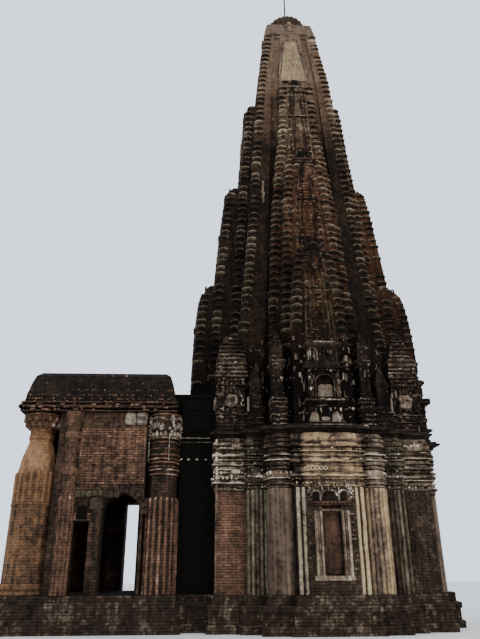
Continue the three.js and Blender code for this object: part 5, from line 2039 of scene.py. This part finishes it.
class TEMPLE_OT_hall_walls(TempleStep):
    """Lay the bricks, lintels and arch stones, the dentilled blocks and the cornice lines of the hall"""
    bl_idname = "temple.hall_walls"
    bl_label = "Hall walls"

    FACE = 2.94
    WALL_FROM = -6.83
    WALL_TO = -4.99
    CORNICE_FROM = -8.6
    CORNICE_TO = -4.13
    # Height, thickness, projection and tone of each line of the cornice
    CORNICE_LINES = [(5.72, 0.04, 0.1, 0.5), (5.84, 0.08, 0.13, 0.35), (5.97, 0.05, 0.07, 0.3)]
    # Middle, half-width, springing and crown of the arch; middle, half-width, foot and head of the window
    ARCH = (-5.575, 0.525, 2.9, 3.45)
    WINDOW = (-6.615, 0.145, 2.77, 3.13)

    def dress(self):
        stones = Stone()
        pale = Stone()
        lines = Stone()
        dark = Stone()
        marks = Rubble(61)
        spots = []
        laid = []
        dice = marks.dice
        for quarter, mirror in ((0, 1), (2, -1)):
            face = self.FACE
            for u0, u1 in ((-5.62, -5.31), (-5.3, -4.99)):
                ends = sorted((mirror * u0, mirror * u1))
                pale.slab(quarter, *ends, face - 0.05, face + 0.1, 5.34, 5.7, 0.8, 0.045)
            reeds = [(-5.26 + 0.04 * step, 0.13) for step in range(6)]
            for u, height in [(-5.53, 0.05), (-5.4, 0.05)] + reeds:
                place = turned(quarter, mirror * u, face + 0.093, 5.44)
                spots.append((place, bearing(quarter), (0.016, 0.02, height), 0.0))
            ends = sorted((mirror * self.CORNICE_FROM, mirror * self.CORNICE_TO))
            path = plan_path(quarter, [(u, 3.0) for u in ends], 0.12)
            for z, height, out, tone in self.CORNICE_LINES:
                lines.sweep(path, bead(z, height, out, tone), wear=0.9, seed=z)
            for z in (5.74, 5.82, 5.9, 5.97):
                marks.course(quarter, *ends, z, 0.05, 0.26, -0.5, 0.7, 3.1)
            laid += self.bricks(quarter, mirror, dice)
        arch_u, arch_half, spring, crown = self.ARCH
        self.arch(stones, 0, arch_u, arch_half, spring, crown, self.FACE)
        self.arch(stones, 3, 0.0, 0.9, 2.7, crown, 8.6)
        window_u, half, foot, head = self.WINDOW
        # The window is a flat panel painted dark: painted shade of its opening
        dark.panel(0, window_u, half, 2.9, self.FACE + 0.014, foot, head, 0.0, crown=0.4)
        for step in range(8):
            u = self.WALL_FROM + 0.15 * step
            front = 3.0 + 0.02 * ripple((u, 0, 0), 0.3)
            stones.slab(0, u, u + 0.14, 2.9, front, 3.33, 3.52, dice.uniform(0.5, 1.1), 0.025)
        stones.slab(0, -6.4, -6.05, 2.9, 3.03, 3.0, 3.3, 0.7, 0.04)
        stones.wobble(0.035, 0.14)
        pale.wobble(0.02, 0.2)
        stones.build("hall_arch_stones", "arch")
        pale.build("hall_pale_blocks", "capital")
        dark.build("hall_window", "dark")
        lines.build("hall_cornice_lines", "hall")
        self.roof_courses(marks)
        marks.build("hall_cornice_stones", "hall")
        stand("hall_block_strokes", brick_unit(), spots, "dark", wear=0.01, jitter=0.0)
        stand("hall_bricks", brick_unit(), laid, "hall", wear=0.01, jitter=0.0)

    def roof_courses(self, marks):
        """What is left of the courses on the slopes of the roof, low down, with a few pale spots above"""
        for quarter, mirror in ((0, 1), (2, -1)):
            for z, chance in ((6.1, 0.5), (6.22, 0.4), (6.38, 0.3), (6.6, 0.12), (6.85, 0.08)):
                for step in range(50):
                    u = mirror * (-8.5 + 0.085 * step)
                    v = reach("hall_roof", quarter, u, z)
                    if v is not None and marks.dice.random() < chance:
                        size = marks.dice.uniform(0.04, 0.08)
                        marks.mark(quarter, u, z, size, 0.045, marks.dice.uniform(-0.4, 0.5), v - 0.01, 0.035)

    def gaps(self, quarter):
        """Openings of a side wall: both edges, foot and head"""
        if quarter == 2:
            return [(-6.15, -5.7, FLOOR, 3.74)]
        arch_u, arch_half, _, crown = self.ARCH
        window_u, half, foot, head = self.WINDOW
        return [
            (arch_u - arch_half - 0.25, arch_u + arch_half + 0.25, FLOOR, crown + 0.22),
            (-6.85, -6.4, FLOOR, 2.73), (window_u - half, window_u + half, foot, head),
            (self.WALL_FROM, -5.9, 3.0, 3.52),
        ]

    def bricks(self, quarter, mirror, dice):
        """Courses of brick on a side wall, clear of its openings"""
        course = sizes().brick_course
        laid = []
        for z, left, right in bond(self.WALL_FROM, self.WALL_TO, FLOOR, 5.3):
            for u0, u1, foot, head in self.gaps(quarter):
                if foot - course < z < head:
                    left = u1 if u0 <= left < u1 else left
                    right = u0 if u0 < right <= u1 else right
            if right - left > 0.05:
                place = turned(quarter, mirror * (left + right) / 2, self.FACE, z)
                size = (right - left - 0.014, 0.012 + 0.01 * dice.random(), course - 0.012)
                laid.append((place, bearing(quarter), size, dice.uniform(-0.6, 0.25)))
        return laid

    def arch(self, stones, quarter, arch_u, arch_half, spring, crown, face):
        """A row of wedge-shaped stones round the head of an arch"""
        count = 13
        for step in range(count):
            angle = math.pi * (step + 0.5) / count
            spread = math.pi * 0.42 / count
            rows = []
            for v, inset in ((face - 0.1, 0.0), (face + 0.04, 0.0), (face + 0.06, 0.03)):
                row = []
                for out, hand in ((inset, -1), (0.24 - inset, -1), (0.24 - inset, 1), (inset, 1)):
                    turn = angle + hand * spread * (1 - inset)
                    u = arch_u + (arch_half + out) * math.cos(turn)
                    row.append(turned(quarter, u, v, spring + (crown - spring + out) * math.sin(turn)))
                rows.append(row)
            tone = 0.35 + 0.6 * ripple((step, quarter, 0.3), 1.3)
            stones.skin(rows, [tone] * len(rows))


class TEMPLE_OT_stage(TempleStep):
    """Set the pale floor, the soft light and the camera"""
    bl_idname = "temple.stage"
    bl_label = "Stage"

    EYE = (-3.143, -20.061, 1.341)
    PITCH = 0.40413
    YAW = -0.04851
    ROLL = 0.0053
    FOCAL_PIXELS = 600.0
    IMAGE_HEIGHT = 639.0
    SENSOR = 36.0

    def dress(self):
        self.camera()
        self.floor()
        self.light("Key", (14.0, -26.0, 24.0), 12.0, 2600.0, (1.0, 0.9, 0.76))
        self.light("Fill", (-22.0, -16.0, 18.0), 14.0, 600.0, (0.86, 0.92, 1.0))
        world = bpy.data.worlds.new("Studio")
        world.use_nodes = True
        ground = world.node_tree.nodes["Background"]
        ground.inputs["Color"].default_value = (*bpy.context.scene.temple_colours.sky, 1.0)
        ground.inputs["Strength"].default_value = 2.1
        bpy.context.scene.world = world

    def camera(self):
        data = bpy.data.cameras.new("Camera")
        data.sensor_width = self.SENSOR
        data.lens = self.SENSOR * self.FOCAL_PIXELS / self.IMAGE_HEIGHT
        data.clip_end = 300.0
        ahead = Vector((-math.sin(self.YAW), math.cos(self.YAW), 0))
        right = Vector((math.cos(self.YAW), math.sin(self.YAW), 0))
        forward = math.cos(self.PITCH) * ahead + math.sin(self.PITCH) * Vector((0, 0, 1))
        up = -math.sin(self.PITCH) * ahead + math.cos(self.PITCH) * Vector((0, 0, 1))
        across = math.cos(self.ROLL) * right - math.sin(self.ROLL) * up
        over = math.sin(self.ROLL) * right + math.cos(self.ROLL) * up
        matrix = Matrix((across, over, -forward)).transposed().to_4x4()
        matrix.translation = Vector(self.EYE)
        camera = placed("Camera", data)
        camera.matrix_world = matrix
        bpy.context.scene.camera = camera

    def floor(self):
        half = 120.0
        mesh = bpy.data.meshes.new("floor")
        corners = [(-half, -half, 0), (half, -half, 0), (half, half, 0), (-half, half, 0)]
        mesh.from_pydata(corners, [], [(0, 1, 2, 3)])
        floor = placed("floor", mesh)
        material = bpy.data.materials.new("floor")
        material.use_nodes = True
        shader = material.node_tree.nodes["Principled BSDF"]
        shader.inputs["Base Color"].default_value = (*bpy.context.scene.temple_colours.floor, 1.0)
        shader.inputs["Roughness"].default_value = 0.9
        mesh.materials.append(material)
        floor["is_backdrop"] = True

    def light(self, name, place, size, power, colour):
        data = bpy.data.lights.new(name, "AREA")
        data.size = size
        data.energy = power
        data.color = colour
        lamp = placed(name, data)
        lamp.location = place
        aim = Vector((0, 0, 9)) - Vector(place)
        lamp.rotation_euler = aim.to_track_quat("-Z", "Y").to_euler()


STEPS = [
    TEMPLE_OT_stage, TEMPLE_OT_masonry, TEMPLE_OT_spire_ribs, TEMPLE_OT_spire_fillets, TEMPLE_OT_tier_tops,
    TEMPLE_OT_spire_scars, TEMPLE_OT_spire_crown, TEMPLE_OT_corner_turrets, TEMPLE_OT_wall_turrets,
    TEMPLE_OT_broken_ornament, TEMPLE_OT_balconies, TEMPLE_OT_wall_mouldings, TEMPLE_OT_wall_flutes,
    TEMPLE_OT_niches, TEMPLE_OT_brick_courses, TEMPLE_OT_passage, TEMPLE_OT_hall_piers, TEMPLE_OT_hall_walls,
]


class TEMPLE_PT_panel(bpy.types.Panel):
    """Lists the steps that dress the temple"""
    bl_label = "Temple"
    bl_idname = "TEMPLE_PT_panel"
    bl_space_type = "VIEW_3D"
    bl_region_type = "UI"
    bl_category = "Temple"

    def draw(self, context):
        for step in STEPS:
            self.layout.operator(step.bl_idname)
        for group in (context.scene.temple_sizes, context.scene.temple_colours):
            for key in type(group).__annotations__:
                self.layout.prop(group, key)


CLASSES = [TempleColours, TempleSizes, *STEPS, TEMPLE_PT_panel]


def register():
    for item in CLASSES:
        bpy.utils.register_class(item)
    bpy.types.Scene.temple_colours = PointerProperty(type=TempleColours)
    bpy.types.Scene.temple_sizes = PointerProperty(type=TempleSizes)


def unregister():
    del bpy.types.Scene.temple_sizes
    del bpy.types.Scene.temple_colours
    for item in reversed(CLASSES):
        bpy.utils.unregister_class(item)


def plain(bounds):
    return [list(corner) for corner in bounds]


def main():
    register()
    for step in STEPS:
        group, name = step.bl_idname.split(".")
        getattr(getattr(bpy.ops, group), name)()
    {"cad": plain(CAD_BOUNDS), "visual": plain(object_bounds())}


if __name__ == "__main__":
    main()
